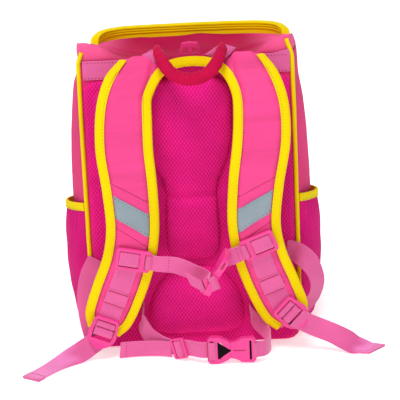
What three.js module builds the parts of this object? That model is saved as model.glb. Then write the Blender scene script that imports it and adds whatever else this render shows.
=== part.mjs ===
// A child's ergonomic school backpack, standing on its base with its straps hanging at the back.
// Millimetres, +Z up. The wearer's side faces -Y, and the origin is the middle of the base.
import * as THREE from "three";

const vec = (x, y, z) => new THREE.Vector3(x, y, z);

// Driving sizes. Inside the bag group, y = 0 is the plane of the back wall and +Y runs to the front.
const GAP = 0.4; // kept between pieces that are sewn or pressed together
const BASE_MIDDLE_Y = 79;
const WALL = 2.4;
const BACK_CORNER = 9;
const FRONT_CORNER = 44;
const FRONT_BULGE = 6;
const SEAM_HEIGHT = 355; // the lid is sewn to the back along this line
const WIDE_WEBBING = 25;
const NARROW_WEBBING = 20;
const WEBBING = 1.5; // thickness of all webbing
const STEPS = 5; // facets on each curved stretch of the bag's outline
const FACETS = 4; // facets on a strap of webbing from one row to the next
const SLACK = 0.05; // two diagonals this close count as equal
const BACK_STOPS = [-0.6, -0.2, 0.2, 0.6, 1]; // corners along the straight back of the outline
const FLOOR = { inset: 4.4, height: 3 }; // the bag's floor, seen from inside

// The bag's outline at each height: half widths at the back, middle and front, and how deep it is.
const SHELL = [
  { height: 0, back: 117, middle: 136, front: 135, near: 5, depth: 152 },
  { height: 4, back: 122, middle: 142, front: 141, near: 1.5, depth: 158 },
  { height: 14, back: 126, middle: 146, front: 145, near: 0, depth: 163 },
  { height: 60, back: 127, middle: 148, front: 147, near: 0, depth: 168 },
  { height: 130, back: 127, middle: 149, front: 148, near: 0, depth: 170 },
  { height: 210, back: 126.5, middle: 148, front: 146, near: 0, depth: 169 },
  { height: 290, back: 126, middle: 142, front: 140, near: 0, depth: 164 },
  { height: 352, back: 125, middle: 132, front: 127, near: 0, depth: 160 },
];

// A shoulder strap from the seam down to its tip: height, distance from the middle, sway to the right,
// distance in front of the back wall, and width.
const STRAP = [
  { height: 355, reach: 57, sway: 8, ahead: 3.4, width: 54 },
  { height: 339, reach: 65, sway: 7, ahead: 27, width: 61 },
  { height: 322, reach: 75, sway: 6, ahead: 40, width: 61 },
  { height: 297, reach: 79, sway: 6, ahead: 50, width: 65 },
  { height: 261, reach: 78.5, sway: 4.5, ahead: 56, width: 66 },
  { height: 214, reach: 73, sway: 2.5, ahead: 56, width: 64 },
  { height: 164, reach: 71, sway: 1, ahead: 50, width: 62 },
  { height: 122, reach: 78, sway: 0.5, ahead: 44, width: 62 },
  { height: 81, reach: 93, sway: 0, ahead: 40, width: 63 },
  { height: 50, reach: 106, sway: 0, ahead: 38, width: 58 },
  { height: 33, reach: 113, sway: 0, ahead: 38, width: 40 },
];
const STRAP_CROWN = 5; // the padding's rise at the middle of the strap
const STRAP_SHOULDER = { width: 2, drop: 0.6 }; // where the crown falls away to the binding
const BINDING = { width: 11, edge: 3.4, inner: 4.4, cloth: 1.3 };

// Materials.
const fabric = (color, roughness) => new THREE.MeshStandardMaterial({ color, roughness, metalness: 0 });
const NYLON = fabric("#f5478c", 0.62);
const NYLON_SIDE = fabric("#e2317a", 0.66);
const MESH = fabric("#d9147a", 0.85);
const YELLOW = fabric("#f6e000", 0.6);
const WEBBING_PINK = fabric("#ec66a4", 0.7);
const GRIPS = fabric("#dc1458", 0.65);
const REFLECTIVE = fabric("#9fb3ba", 0.35);
const PLASTIC = fabric("#fb62ad", 0.38);

const bag = new THREE.Group();
bag.position.y = -BASE_MIDDLE_Y;

function piece(name, geometry, material) {
  const mesh = new THREE.Mesh(geometry, material);
  mesh.name = name;
  bag.add(mesh);
  return mesh;
}

// Triangles that close a flat ring of points, in the ring's own order.
function capOf(ring) {
  const normal = vec(0, 0, 0);
  ring.forEach((p, i) => normal.add(p.clone().cross(ring[(i + 1) % ring.length])));
  normal.normalize();
  const side = Math.abs(normal.z) < 0.9 ? vec(0, 0, 1) : vec(1, 0, 0);
  const u = side.cross(normal).normalize();
  const v = normal.clone().cross(u);
  const flat = ring.map((p) => new THREE.Vector2(p.dot(u), p.dot(v)));
  return THREE.ShapeUtils.triangulateShape(flat, []).map(([a, b, c]) => {
    const turn = THREE.ShapeUtils.area([flat[a], flat[b], flat[c]]);
    return turn > 0 ? [a, b, c] : [a, c, b];
  });
}

// A closed solid through rings of equal counts, with its two ends capped. Each four-sided face is split
// along its shorter diagonal, so the two faces of a twisted strap are split alike.
function loft(rings) {
  const count = rings[0].length;
  const points = rings.flat();
  const positions = points.flatMap((p) => p.toArray());
  const faces = [];
  for (let i = 0; i + 1 < rings.length; i++) {
    for (let j = 0; j < count; j++) {
      const a = i * count + j;
      const b = i * count + ((j + 1) % count);
      const [c, d] = [b + count, a + count];
      const alike = points[a].distanceTo(points[c]) < points[b].distanceTo(points[d]) + SLACK;
      faces.push(...(alike ? [[a, b, c], [a, c, d]] : [[a, b, d], [b, c, d]]));
    }
  }
  const last = (rings.length - 1) * count;
  capOf(rings[0]).forEach(([a, b, c]) => faces.push([a, c, b]));
  capOf(rings.at(-1)).forEach(([a, b, c]) => faces.push([last + a, last + b, last + c]));
  const wedge = ([a, b, c]) => points[a].dot(points[b].clone().cross(points[c]));
  const volume = faces.reduce((sum, face) => sum + wedge(face), 0);
  const outward = volume > 0 ? faces : faces.map(([a, b, c]) => [a, c, b]);
  const geometry = new THREE.BufferGeometry();
  geometry.setAttribute("position", new THREE.Float32BufferAttribute(positions, 3));
  geometry.setIndex(outward.flat());
  geometry.computeVertexNormals();
  return geometry;
}

// Rings of a section carried along frames of an origin, an across direction and an out direction.
const carry = (frames, sectionAt) =>
  frames.map((f, i) =>
    sectionAt(f, i).map(([a, o]) => f.origin.clone().addScaledVector(f.across, a).addScaledVector(f.out, o)),
  );

// Frames along a curve whose across direction is given roughly at each point.
function framesAlong(points, acrosses) {
  return points.map((origin, i) => {
    const before = points[Math.max(i - 1, 0)];
    const after = points[Math.min(i + 1, points.length - 1)];
    const along = after.clone().sub(before).normalize();
    const across = acrosses[i].clone().addScaledVector(along, -acrosses[i].dot(along)).normalize();
    return { origin, along, across, out: along.clone().cross(across) };
  });
}

function spread(from, to, count) {
  return Array.from({ length: count + 1 }, (_, i) => from + ((to - from) * i) / count);
}

// A curve through one row of numbers, read at 0 to 1.
function columnCurve(values) {
  const curve = new THREE.CatmullRomCurve3(values.map((v) => vec(v, 0, 0)), false, "catmullrom");
  return (t) => curve.getPoint(t).x;
}

// One row of a strap of webbing: a place and the direction across the strap there.
const row = (place, across) => ({ place, across });
const UPRIGHT = vec(0, 0, 1);

// A flat strap of webbing through its rows. Reversing an across direction leaves a strap as it is, so each
// is turned to agree with the one before it.
function webbing(rows, width) {
  const ways = [];
  for (const { across } of rows) {
    const last = ways.at(-1) ?? across;
    ways.push(across.clone().multiplyScalar(across.dot(last) < 0 ? -1 : 1));
  }
  const places = new THREE.CatmullRomCurve3(rows.map((r) => r.place), false, "centripetal");
  const acrosses = new THREE.CatmullRomCurve3(ways, false, "catmullrom");
  const ts = spread(0, 1, FACETS * (rows.length - 1));
  const frames = framesAlong(ts.map((t) => places.getPoint(t)), ts.map((t) => acrosses.getPoint(t)));
  const a = width / 2;
  const o = WEBBING / 2;
  return loft(carry(frames, () => [[-a, -o], [a, -o], [a, o], [-a, o]]));
}

// Bag shell: an open-topped cup of cloth.
function shellRow(height) {
  const above = Math.max(SHELL.findIndex((r) => r.height >= height), 1);
  const [low, high] = [SHELL[above - 1], SHELL[above]];
  const t = (height - low.height) / (high.height - low.height);
  return Object.fromEntries(Object.keys(low).map((k) => [k, THREE.MathUtils.lerp(low[k], high[k], t)]));
}

// The side wall of one outline, from its back corner to its front corner, on the right.
function sideCurve({ back, middle, front, near, depth }) {
  const start = new THREE.Vector2(back, near + BACK_CORNER);
  const end = new THREE.Vector2(front, depth - FRONT_CORNER);
  const through = new THREE.Vector2(middle, (start.y + end.y) / 2);
  const control = through.multiplyScalar(2).addScaledVector(start, -0.5).addScaledVector(end, -0.5);
  return new THREE.QuadraticBezierCurve(start, control, end);
}

function outline(row, inset) {
  const near = row.near + inset;
  const depth = row.depth - inset;
  const [back, middle, front] = [row.back - inset, row.middle - inset, row.front - inset];
  const side = sideCurve({ back, middle, front, near, depth });
  const path = new THREE.Path();
  path.moveTo(-back + BACK_CORNER, near);
  for (const share of BACK_STOPS) path.lineTo(share * (back - BACK_CORNER), near);
  path.quadraticCurveTo(back, near, side.v0.x, side.v0.y);
  path.quadraticCurveTo(side.v1.x, side.v1.y, side.v2.x, side.v2.y);
  // The front corner carries on from the side.
  const lean = (side.v2.x - side.v1.x) / (side.v2.y - side.v1.y);
  const corner = side.v2.x + lean * FRONT_CORNER;
  path.quadraticCurveTo(corner, depth, corner - FRONT_CORNER, depth);
  path.quadraticCurveTo(0, depth + FRONT_BULGE, -corner + FRONT_CORNER, depth);
  path.quadraticCurveTo(-corner, depth, -side.v2.x, side.v2.y);
  path.quadraticCurveTo(-side.v1.x, side.v1.y, -side.v0.x, side.v0.y);
  path.quadraticCurveTo(-back, near, -back + BACK_CORNER, near);
  return path.getPoints(STEPS).slice(0, -1);
}

function shell() {
  const ring = (row, inset, height = row.height) => outline(row, inset).map((p) => vec(p.x, p.y, height));
  const outside = SHELL.map((row) => ring(row, 0));
  const inside = SHELL.slice(2).map((row) => ring(row, WALL));
  const floor = ring(SHELL[1], FLOOR.inset, FLOOR.height);
  return loft([...outside, ...inside.reverse(), floor]);
}
const MOUTH = SHELL.at(-1);
piece("bag_shell", shell(), NYLON_SIDE);

// Zip: a corded band that stands on the mouth, along the front and round both front corners.
const ZIP = { width: 9, startY: 98 };
const ZIP_SECTION = [
  [0, 0], [8.4, 0], [9, 3], [7.6, 5.2], [9.2, 7.6], [7.6, 10], [9, 12.6], [6.8, 16], [2.2, 16], [0, 13],
];
function zipBand() {
  const inner = outline(MOUTH, ZIP.width).filter((p) => p.y > ZIP.startY);
  const points = inner.map((p) => vec(p.x, p.y, MOUTH.height + GAP));
  const frames = points.map((origin, i) => {
    const along = points[Math.min(i + 1, points.length - 1)].clone().sub(points[Math.max(i - 1, 0)]);
    return { origin, across: vec(along.y, -along.x, 0).normalize(), out: vec(0, 0, 1) };
  });
  return loft(carry(frames, () => ZIP_SECTION));
}
piece("zip_band", zipBand(), YELLOW);

// Lid: a cloth panel that sags in the middle and stands up at its back corners. Its sides rest on the
// mouth, and its front runs inside the zip.
const LID = { cloth: 2.4, edge: 356, middle: 347, sag: 1.6 };
const EAR = { rise: 9, from: 60, to: 112, back: 26, front: 130 };
const LID_RINGS = [0.12, 0.4, 0.66, 0.86, 1]; // shares of the way from its middle to its edge
const HEM = { from: ZIP.startY - 24, to: ZIP.startY - 8 }; // where the hem leaves the wall to pass the zip
function lidHeight(p, share) {
  const out = THREE.MathUtils.smoothstep(Math.abs(p.x), EAR.from, EAR.to);
  const near = 1 - THREE.MathUtils.smoothstep(p.y, EAR.back, EAR.front);
  return THREE.MathUtils.lerp(LID.middle, LID.edge + EAR.rise * out * near, share ** LID.sag);
}
function lid() {
  const outer = outline(MOUTH, 0);
  const edge = outline(MOUTH, ZIP.width + GAP).map((p, i) => {
    return p.lerp(outer[i], 1 - THREE.MathUtils.smoothstep(outer[i].y, HEM.from, HEM.to));
  });
  const middle = new THREE.Vector2(0, MOUTH.depth / 2);
  const ring = (share, lift) =>
    edge.map((e) => {
      const p = middle.clone().lerp(e, share);
      return vec(p.x, p.y, lidHeight(p, share) + lift);
    });
  const over = LID_RINGS.map((s) => ring(s, 0));
  const under = LID_RINGS.slice(0, -1).map((s) => ring(s, -LID.cloth));
  const hem = edge.map((p) => vec(p.x, p.y, MOUTH.height + GAP));
  return loft([...under, hem, ...over.reverse()]);
}
piece("lid", lid(), NYLON);

// Back panel: a mesh-covered board with raised pads that leave air channels between them.
const PANEL = { halfWidth: 121, low: 7, high: 331, corner: 14, board: 4 };
const PAD_BASE = PANEL.board + 2 * GAP;

function plate(shape, depth, curveSegments = 6) {
  return new THREE.ExtrudeGeometry(shape, { depth, bevelEnabled: false, curveSegments });
}

function roundedRectangle(left, low, right, high, r) {
  const s = new THREE.Shape();
  s.moveTo(left + r, low);
  s.lineTo(right - r, low).absarc(right - r, low + r, r, -Math.PI / 2, 0);
  s.lineTo(right, high - r).absarc(right - r, high - r, r, 0, Math.PI / 2);
  s.lineTo(left + r, high).absarc(left + r, high - r, r, Math.PI / 2, Math.PI);
  s.lineTo(left, low + r).absarc(left + r, low + r, r, Math.PI, 1.5 * Math.PI);
  return s;
}

// A plate drawn in x and z is stood up against the back wall, facing -Y.
function againstBack(geometry, ahead) {
  return geometry.rotateX(Math.PI / 2).translate(0, -ahead, 0);
}

const board = roundedRectangle(-PANEL.halfWidth, PANEL.low, PANEL.halfWidth, PANEL.high, PANEL.corner);
piece("back_panel", againstBack(plate(board, PANEL.board, 4), GAP), MESH);

// Each pad is a smooth closed outline of x and z points, crowned towards the wearer. The spine and lumbar
// pads list their right half and are mirrored into one pad; the others have a twin on the left.
const PADS = {
  spine_pad: {
    rise: 11,
    half: [
      { x: 0, z: 326 }, { x: 46, z: 320 }, { x: 52, z: 280 }, { x: 47, z: 240 },
      { x: 31, z: 196 }, { x: 34, z: 140 }, { x: 26, z: 112 }, { x: 0, z: 108 },
    ],
  },
  lumbar_pad: {
    rise: 20,
    half: [
      { x: 0, z: 14 }, { x: 44, z: 15 }, { x: 60, z: 30 },
      { x: 55, z: 66 }, { x: 34, z: 94 }, { x: 0, z: 103 },
    ],
  },
  side_pad: {
    rise: 12,
    whole: [
      { x: 92, z: 22 }, { x: 104, z: 40 }, { x: 105, z: 120 }, { x: 104, z: 194 }, { x: 80, z: 212 },
      { x: 50, z: 196 }, { x: 40, z: 160 }, { x: 48, z: 120 }, { x: 66, z: 80 }, { x: 72, z: 34 },
    ],
  },
  upper_pad: {
    rise: 9,
    whole: [
      { x: 60, z: 316 }, { x: 64, z: 270 }, { x: 72, z: 236 }, { x: 108, z: 222 },
      { x: 114, z: 256 }, { x: 114, z: 300 }, { x: 104, z: 324 }, { x: 72, z: 325 },
    ],
  },
};
const PAD_RINGS = [
  { share: 1, rise: 0 }, { share: 1, rise: 0.3 }, { share: 0.9, rise: 0.72 }, { share: 0.66, rise: 0.94 },
  { share: 0.3, rise: 1 },
];
const PAD_TENSION = 0.6;
const PAD_SIDES = 24;

const acrossMiddle = (points) => points.map(({ x, z }) => ({ x: -x, z }));
function pad(points, rise) {
  const corners = points.map(({ x, z }) => vec(x, 0, z));
  const edge = new THREE.CatmullRomCurve3(corners, true, "catmullrom", PAD_TENSION);
  const outer = edge.getSpacedPoints(PAD_SIDES).slice(0, -1);
  const middle = outer.reduce((sum, p) => sum.add(p), vec(0, 0, 0)).divideScalar(outer.length);
  return loft(
    PAD_RINGS.map((r) =>
      outer.map((p) => middle.clone().lerp(p, r.share).setY(-PAD_BASE - rise * r.rise)),
    ),
  );
}
for (const [name, { rise, half, whole }] of Object.entries(PADS)) {
  if (half) {
    piece(name, pad([...half, ...acrossMiddle(half.slice(1, -1)).reverse()], rise), MESH);
  } else {
    piece(`${name}_right`, pad(whole, rise), MESH);
    piece(`${name}_left`, pad(acrossMiddle(whole), rise), MESH);
  }
}

// Tape across the top of the back, between the back panel and the lid's seam.
const TAPE = { halfWidth: 115, low: PANEL.high + 1.5, high: SEAM_HEIGHT };
const tape = roundedRectangle(-TAPE.halfWidth, TAPE.low, TAPE.halfWidth, TAPE.high, 1);
piece("top_tape", againstBack(plate(tape, WEBBING, 2), GAP), WEBBING_PINK);

// Piping: a corded tube in the seam at each back corner.
const PIPING = { radius: 2.6, low: 16, high: 357, sides: 8, rows: 7, steps: 14 };
function piping(side) {
  // The tube lies on the corner's slanting face.
  const inset = BACK_CORNER * (1 - Math.SQRT1_2) - PIPING.radius * Math.SQRT1_2 - GAP;
  const points = spread(PIPING.low, PIPING.high, PIPING.rows).map((height) => {
    const row = shellRow(Math.min(height, SHELL.at(-1).height));
    return vec(side * (row.back - inset), row.near + inset, height);
  });
  const rim = new THREE.Shape().absarc(0, 0, PIPING.radius, 0, 2 * Math.PI);
  return new THREE.ExtrudeGeometry(rim, {
    steps: PIPING.steps,
    curveSegments: PIPING.sides / 2,
    bevelEnabled: false,
    extrudePath: new THREE.CatmullRomCurve3(points),
  });
}
piece("piping_left", piping(-1), YELLOW);
piece("piping_right", piping(1), YELLOW);

// Side pockets: a mesh wall that bulges from the side, open at the top.
const POCKET = { low: 14, high: 170, fall: 20, cloth: 1.4, from: 0.03, to: 0.97, across: 12, up: 8 };
const BULGE = { most: 10, round: 0.7, foot: 0.08, rise: 0.72 };
const POCKET_BINDING = { height: 10, cloth: 2.4 };

// A place on the side wall, pushed out along its normal.
function onSide(side, u, height, push) {
  const curve = sideCurve(shellRow(height));
  const p = curve.getPoint(u);
  const along = curve.getTangent(u);
  return vec(side * (p.x + along.y * push), p.y - along.x * push, height);
}
// One level of the pocket's wall, v from the foot to the mouth. The mouth falls towards the front.
function pocketRing(side, v, lift, cloth) {
  const us = spread(0, 1, POCKET.across);
  const at = (u, extra) => {
    const height = THREE.MathUtils.lerp(POCKET.low, POCKET.high - POCKET.fall * u, v) + lift;
    const up = Math.sin(Math.PI * (BULGE.foot + BULGE.rise * v));
    const bulge = BULGE.most * up * Math.sin(Math.PI * u) ** BULGE.round;
    return onSide(side, THREE.MathUtils.lerp(POCKET.from, POCKET.to, u), height, GAP + bulge + extra);
  };
  return [...us.map((u) => at(u, 0)), ...us.reverse().map((u) => at(u, cloth))];
}
for (const [name, side] of [["left", -1], ["right", 1]]) {
  const wall = spread(0, 1, POCKET.up).map((v) => pocketRing(side, v, 0, POCKET.cloth));
  const lifts = [GAP, GAP + POCKET_BINDING.height];
  const hem = lifts.map((lift) => pocketRing(side, 1, lift, POCKET_BINDING.cloth));
  piece(`side_pocket_${name}`, loft(wall), MESH);
  piece(`pocket_binding_${name}`, loft(hem), YELLOW);
}

// Shoulder straps: a surface along a centre line, with its padding, bound edges and what is sewn on it.
const STRAP_BEND = 0.2; // the share of its length that bends over the shoulder
function strapSurface(side) {
  const centre = new THREE.CatmullRomCurve3(
    STRAP.map((r) => vec(side * r.reach + r.sway, -r.ahead, r.height)), false, "catmullrom",
  );
  const halfWidth = columnCurve(STRAP.map((r) => r.width / 2));
  return (t) => {
    const along = centre.getTangent(t);
    along.x *= THREE.MathUtils.smoothstep(t, 0, STRAP_BEND); // the top is cut level, along the seam
    along.normalize();
    const across = vec(0, -1, 0).cross(along).normalize();
    const out = along.clone().cross(across);
    return { origin: centre.getPoint(t), along, across, out, half: halfWidth(t) };
  };
}
const STRAPS = { left: strapSurface(-1), right: strapSurface(1) };
// Facets lie closer where the strap bends over the shoulder.
const STRAP_STOPS = [...spread(0, STRAP_BEND, 8), ...spread(STRAP_BEND, 1, 16).slice(1)];

// The padding reaches into the bindings. Above the neck it stops short of its inner edge by NECK.clear.
const NECK = { stop: 3, fade: 5, clear: 14, rise: 346.5, dip: 3, ahead: 14, sweep: 4, half: 26, spans: 10 };
const NECK_FACE = vec(0, -0.95, 0.3); // the way the binding faces between the straps
function strapPad(surface, way) {
  const frames = STRAP_STOPS.map(surface);
  const section = ({ half }, i) => {
    const edge = half - BINDING.cloth - 2 * GAP;
    const under = half - BINDING.width - GAP;
    const thin = BINDING.edge - BINDING.cloth - 3 * GAP;
    const thick = BINDING.inner - BINDING.cloth - 3 * GAP;
    const clear = NECK.clear * (1 - THREE.MathUtils.smoothstep(i, NECK.stop, NECK.stop + NECK.fade));
    const crown = under - STRAP_SHOULDER.width;
    const shoulder = STRAP_CROWN - STRAP_SHOULDER.drop;
    const points = [
      [-edge, -thin], [-under, -thick], [under - clear, -thick], [edge - clear, -thin], [edge - clear, thin],
      [under - clear, thick], [crown - clear, shoulder], [0, STRAP_CROWN],
      [-crown, shoulder], [-under, thick], [-edge, thin],
    ];
    return points.map(([a, o]) => [way * a, o]);
  };
  return loft(carry(frames, section));
}

// Binding tape folded over an edge: its section is a U that opens inwards from the edge.
const { width: bindWide, edge: bindEdge, inner: bindInner, cloth: bindCloth } = BINDING;
const BINDING_SECTION = [
  [-bindWide, bindInner], [-1, bindEdge], [0, 0], [-1, -bindEdge], [-bindWide, -bindInner],
  [-bindWide, bindCloth - bindInner], [-bindCloth, bindCloth - bindEdge],
  [-bindCloth, bindEdge - bindCloth], [-bindWide, bindInner - bindCloth],
];
// A strap's edge, with the across direction pointing away from the strap.
function strapEdge(surface, t, way) {
  const f = surface(t);
  return {
    origin: f.origin.clone().addScaledVector(f.across, way * f.half),
    across: f.across.clone().multiplyScalar(way),
    out: f.out,
  };
}
function neckBinding() {
  const ts = STRAP_STOPS.slice(NECK.stop).reverse();
  const left = ts.map((t) => strapEdge(STRAPS.left, t, 1));
  const right = ts.map((t) => strapEdge(STRAPS.right, t, -1)).reverse();
  const [from, to] = [left.at(-1).origin, right[0].origin];
  const middle = (from.x + to.x) / 2;
  const arch = new THREE.CatmullRomCurve3([
    from,
    vec(middle - NECK.half, -NECK.ahead - NECK.sweep, NECK.rise - NECK.dip),
    vec(middle - NECK.half / 2, -NECK.ahead, NECK.rise),
    vec(middle + NECK.half / 2, -NECK.ahead, NECK.rise),
    vec(middle + NECK.half, -NECK.ahead - NECK.sweep, NECK.rise - NECK.dip),
    to,
  ]);
  const bridge = spread(0.1, 0.9, NECK.spans).map((t) => {
    const along = arch.getTangent(t);
    const across = along.clone().cross(NECK_FACE).normalize();
    return { origin: arch.getPoint(t), across, out: across.clone().cross(along) };
  });
  return loft(carry([...left, ...bridge, ...right], () => BINDING_SECTION));
}

// A band of the strap's face between two places along it, shifted down by skew across its width.
function onStrap(surface, { from, to, half, lift, thick, skew = 0, steps = 4 }) {
  const rows = spread(0, 1, steps).map((share) => {
    const at = (a) => {
      const t = THREE.MathUtils.lerp(from, to, share) + skew * (a / half);
      const f = surface(t);
      return (o) => f.origin.clone().addScaledVector(f.across, a).addScaledVector(f.out, o);
    };
    const [left, right] = [at(-half), at(half)];
    return [left(lift), right(lift), right(lift + thick), left(lift + thick)];
  });
  return loft(rows);
}

const FACE = STRAP_CROWN + GAP;
const REFLECTOR = { from: 0.535, to: 0.592, half: 19.5, lift: FACE, thick: 0.8, skew: 0.026 };
const STRAP_WEBBING = {
  from: 0.655, to: 0.925, half: WIDE_WEBBING / 2, lift: FACE, thick: WEBBING, steps: 10,
};

piece("neck_binding", neckBinding(), YELLOW);
for (const [name, way] of [["left", 1], ["right", -1]]) {
  const surface = STRAPS[name];
  const outer = STRAP_STOPS.slice(1).map((t) => strapEdge(surface, t, -way));
  piece(`shoulder_strap_${name}`, strapPad(surface, way), NYLON);
  piece(`strap_binding_${name}`, loft(carry(outer, () => BINDING_SECTION)), YELLOW);
  piece(`reflector_${name}`, onStrap(surface, { ...REFLECTOR, skew: way * REFLECTOR.skew }), REFLECTIVE);
  piece(`strap_webbing_${name}`, onStrap(surface, STRAP_WEBBING), WEBBING_PINK);
}

// Grab handle: a padded grip that hangs in a loop, on webbing ends sewn along the lid's seam.
const HANDLE = { middle: 6, wide: 7.5, thick: 5.5, sides: 10, steps: 16 };
const GRIP_WIDE_WAY = vec(0, 0.5, 0.87); // the grip's wide side lies along this
const GRIP = [
  { x: 38, ahead: 7, height: 366 },
  { x: 35.5, ahead: 22, height: 362 },
  { x: 29.5, ahead: 36, height: 352.5 },
  { x: 19, ahead: 44, height: 342.5 },
  { x: 7, ahead: 47, height: 338 },
];
function handleGrip() {
  const half = GRIP.map((r) => vec(-r.x, -r.ahead, r.height));
  const other = GRIP.toReversed().map((r) => vec(r.x, -r.ahead, r.height));
  const curve = new THREE.CatmullRomCurve3([...half, ...other].map((p) => p.setX(p.x + HANDLE.middle)));
  const points = curve.getSpacedPoints(HANDLE.steps);
  const frames = framesAlong(points, points.map(() => GRIP_WIDE_WAY));
  const turns = spread(0, 2 * Math.PI, HANDLE.sides).slice(0, -1);
  const oval = turns.map((a) => [HANDLE.wide * Math.cos(a), HANDLE.thick * Math.sin(a)]);
  return loft(carry(frames, () => oval));
}
piece("handle_grip", handleGrip(), GRIPS);

const HANDLE_END = [
  { away: 43, y: 20, lift: -1.2, half: 13 }, { away: 42, y: 4, lift: 1, half: 13 },
  { away: 40, y: -2.4, lift: 5, half: 11 }, { away: 38.4, y: -5.7, lift: 9.5, half: 8 },
];
function handleEnd(side) {
  return loft(
    HANDLE_END.map(({ away, y, lift, half }) => {
      const x = HANDLE.middle + side * away;
      const z = LID.edge + lift;
      const [o, a] = [WEBBING / 2, half];
      return [vec(x - a, y, z - o), vec(x + a, y, z - o), vec(x + a, y, z + o), vec(x - a, y, z + o)];
    }),
  );
}
piece("handle_end_left", handleEnd(-1), WEBBING_PINK);
piece("handle_end_right", handleEnd(1), WEBBING_PINK);

// Hanging loop: a stiff tape arch with a stitched post in the middle, standing on the seam.
const LOOP = { half: 14, top: 9, height: 15, crown: 1, tape: 2, post: 2.2, slope: 0.5, deep: 9, back: 2 };
function hangLoop() {
  const s = new THREE.Shape();
  const shoulder = LOOP.height - LOOP.crown;
  s.moveTo(-LOOP.half, 0);
  s.lineTo(LOOP.half, 0).lineTo(LOOP.top, shoulder).lineTo(0, LOOP.height).lineTo(-LOOP.top, shoulder);
  for (const side of [-1, 1]) {
    const window = new THREE.Path();
    const high = LOOP.height - 3 * LOOP.tape;
    window.moveTo(side * LOOP.post, LOOP.tape);
    window.lineTo(side * (LOOP.half - 2 * LOOP.tape), LOOP.tape + LOOP.slope);
    window.lineTo(side * (LOOP.top - LOOP.tape), high - LOOP.slope);
    window.lineTo(side * LOOP.post, high);
    s.holes.push(window);
  }
  const arch = againstBack(plate(s, LOOP.deep), -LOOP.deep - LOOP.back);
  return arch.translate(HANDLE.middle, 0, LID.edge + GAP / 2);
}
piece("hang_loop", hangLoop(), GRIPS);

// Hardware. Each is drawn flat, x along the webbing and y across it, and set on a frame.
function setOn(name, geometry, origin, along, out) {
  const mesh = piece(name, geometry, PLASTIC);
  const across = out.clone().cross(along).normalize();
  const face = along.clone().normalize().cross(across);
  mesh.matrix.makeBasis(along.clone().normalize(), across, face).setPosition(origin);
  mesh.matrix.decompose(mesh.position, mesh.quaternion, mesh.scale);
}
function slot(left, low, right, high) {
  const hole = new THREE.Path();
  hole.moveTo(left, low).lineTo(right, low).lineTo(right, high).lineTo(left, high).lineTo(left, low);
  return hole;
}

// Ladder lock: a frame with two bars and a curved thumb lip, at each strap's tip.
const LOCK = { half: 17.5, top: 17, corner: 3, shoulder: 6, lip: 22, lipBack: 3, lipIn: 2, thick: 4 };
const LOCK_SLOTS = [
  { from: -13, to: -9.5, half: 13 },
  { from: -6, to: -2.5, half: 12.6 },
  { from: 4.5, to: 11, half: 12 },
];
function ladderLock() {
  const { half, top, corner, shoulder, lip, lipBack, lipIn } = LOCK;
  const s = new THREE.Shape();
  s.moveTo(-top, -half + corner);
  s.lineTo(-top + corner, -half).lineTo(shoulder, -half);
  s.quadraticCurveTo(lip - lipBack, -half + lipIn, lip, 0);
  s.quadraticCurveTo(lip - lipBack, half - lipIn, shoulder, half);
  s.lineTo(-top + corner, half).lineTo(-top, half - corner);
  LOCK_SLOTS.forEach((r) => s.holes.push(slot(r.from, -r.half, r.to, r.half)));
  return plate(s, LOCK.thick, 4);
}
const LOCK_PLACES = { left: { t: 0.975, turn: 0, shift: -1 }, right: { t: 0.91, turn: 0.42, shift: 6 } };
const LOCK_LIFT = FACE + WEBBING + 3 * GAP;
const LOCKS = {};
for (const [name, { t, turn, shift }] of Object.entries(LOCK_PLACES)) {
  const f = STRAPS[name](t);
  const along = f.along.clone().applyAxisAngle(f.out, turn);
  const origin = f.origin.clone().addScaledVector(f.out, LOCK_LIFT).addScaledVector(f.across, shift);
  LOCKS[name] = { origin, along, out: f.out, across: f.out.clone().cross(along) };
  setOn(`ladder_lock_${name}`, ladderLock(), origin, along, f.out);
}

// Chest strap sliders: a window frame on the strap webbing with a bar at the inner side.
const SLIDER = { halfLong: 16, half: 13.5, bar: 9, thick: 3.6, corner: 3 };
const SLIDER_SLOTS = [{ low: 7.5, high: 10, half: 12 }, { low: -10, high: -7.5, half: 11.6 }];
const SLIDER_BAR = { from: 18, to: 20.5, half: 9.5 };
function chestSlider(way) {
  const inOrder = (a, b) => [way * a, way * b].sort((p, q) => p - q);
  const [left, right] = inOrder(-SLIDER.halfLong, SLIDER.halfLong + SLIDER.bar);
  const s = roundedRectangle(left, -SLIDER.half, right, SLIDER.half, SLIDER.corner);
  SLIDER_SLOTS.forEach((r) => s.holes.push(slot(-r.half, r.low, r.half, r.high)));
  const [from, to] = inOrder(SLIDER_BAR.from, SLIDER_BAR.to);
  s.holes.push(slot(from, -SLIDER_BAR.half, to, SLIDER_BAR.half));
  return plate(s, SLIDER.thick, 2);
}
const SLIDER_PLACES = {
  left: { t: 0.683, turn: 0.05, way: 1, shift: 0 },
  right: { t: 0.655, turn: 0.2, way: -1, shift: 6 },
};
const SLIDER_LIFT = FACE + WEBBING + GAP;
const SLIDER_LEAD = [{ beyond: 1, lift: 0 }, { beyond: 7, lift: 1.4 }]; // the chest strap's first places
const SLIDERS = {};
for (const [name, { t, turn, way, shift }] of Object.entries(SLIDER_PLACES)) {
  const f = STRAPS[name](t);
  const along = f.across.clone().applyAxisAngle(f.out, turn);
  const origin = f.origin.clone().addScaledVector(f.out, SLIDER_LIFT).addScaledVector(f.across, shift);
  const across = f.out.clone().cross(along);
  SLIDERS[name] = SLIDER_LEAD.map(({ beyond, lift }) => {
    const end = origin.clone().addScaledVector(along, way * (SLIDER.halfLong + SLIDER.bar + beyond));
    return row(end.addScaledVector(f.out, SLIDER.thick / 2 + lift), across);
  });
  setOn(`chest_slider_${name}`, chestSlider(way), origin, along, f.out);
}

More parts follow.
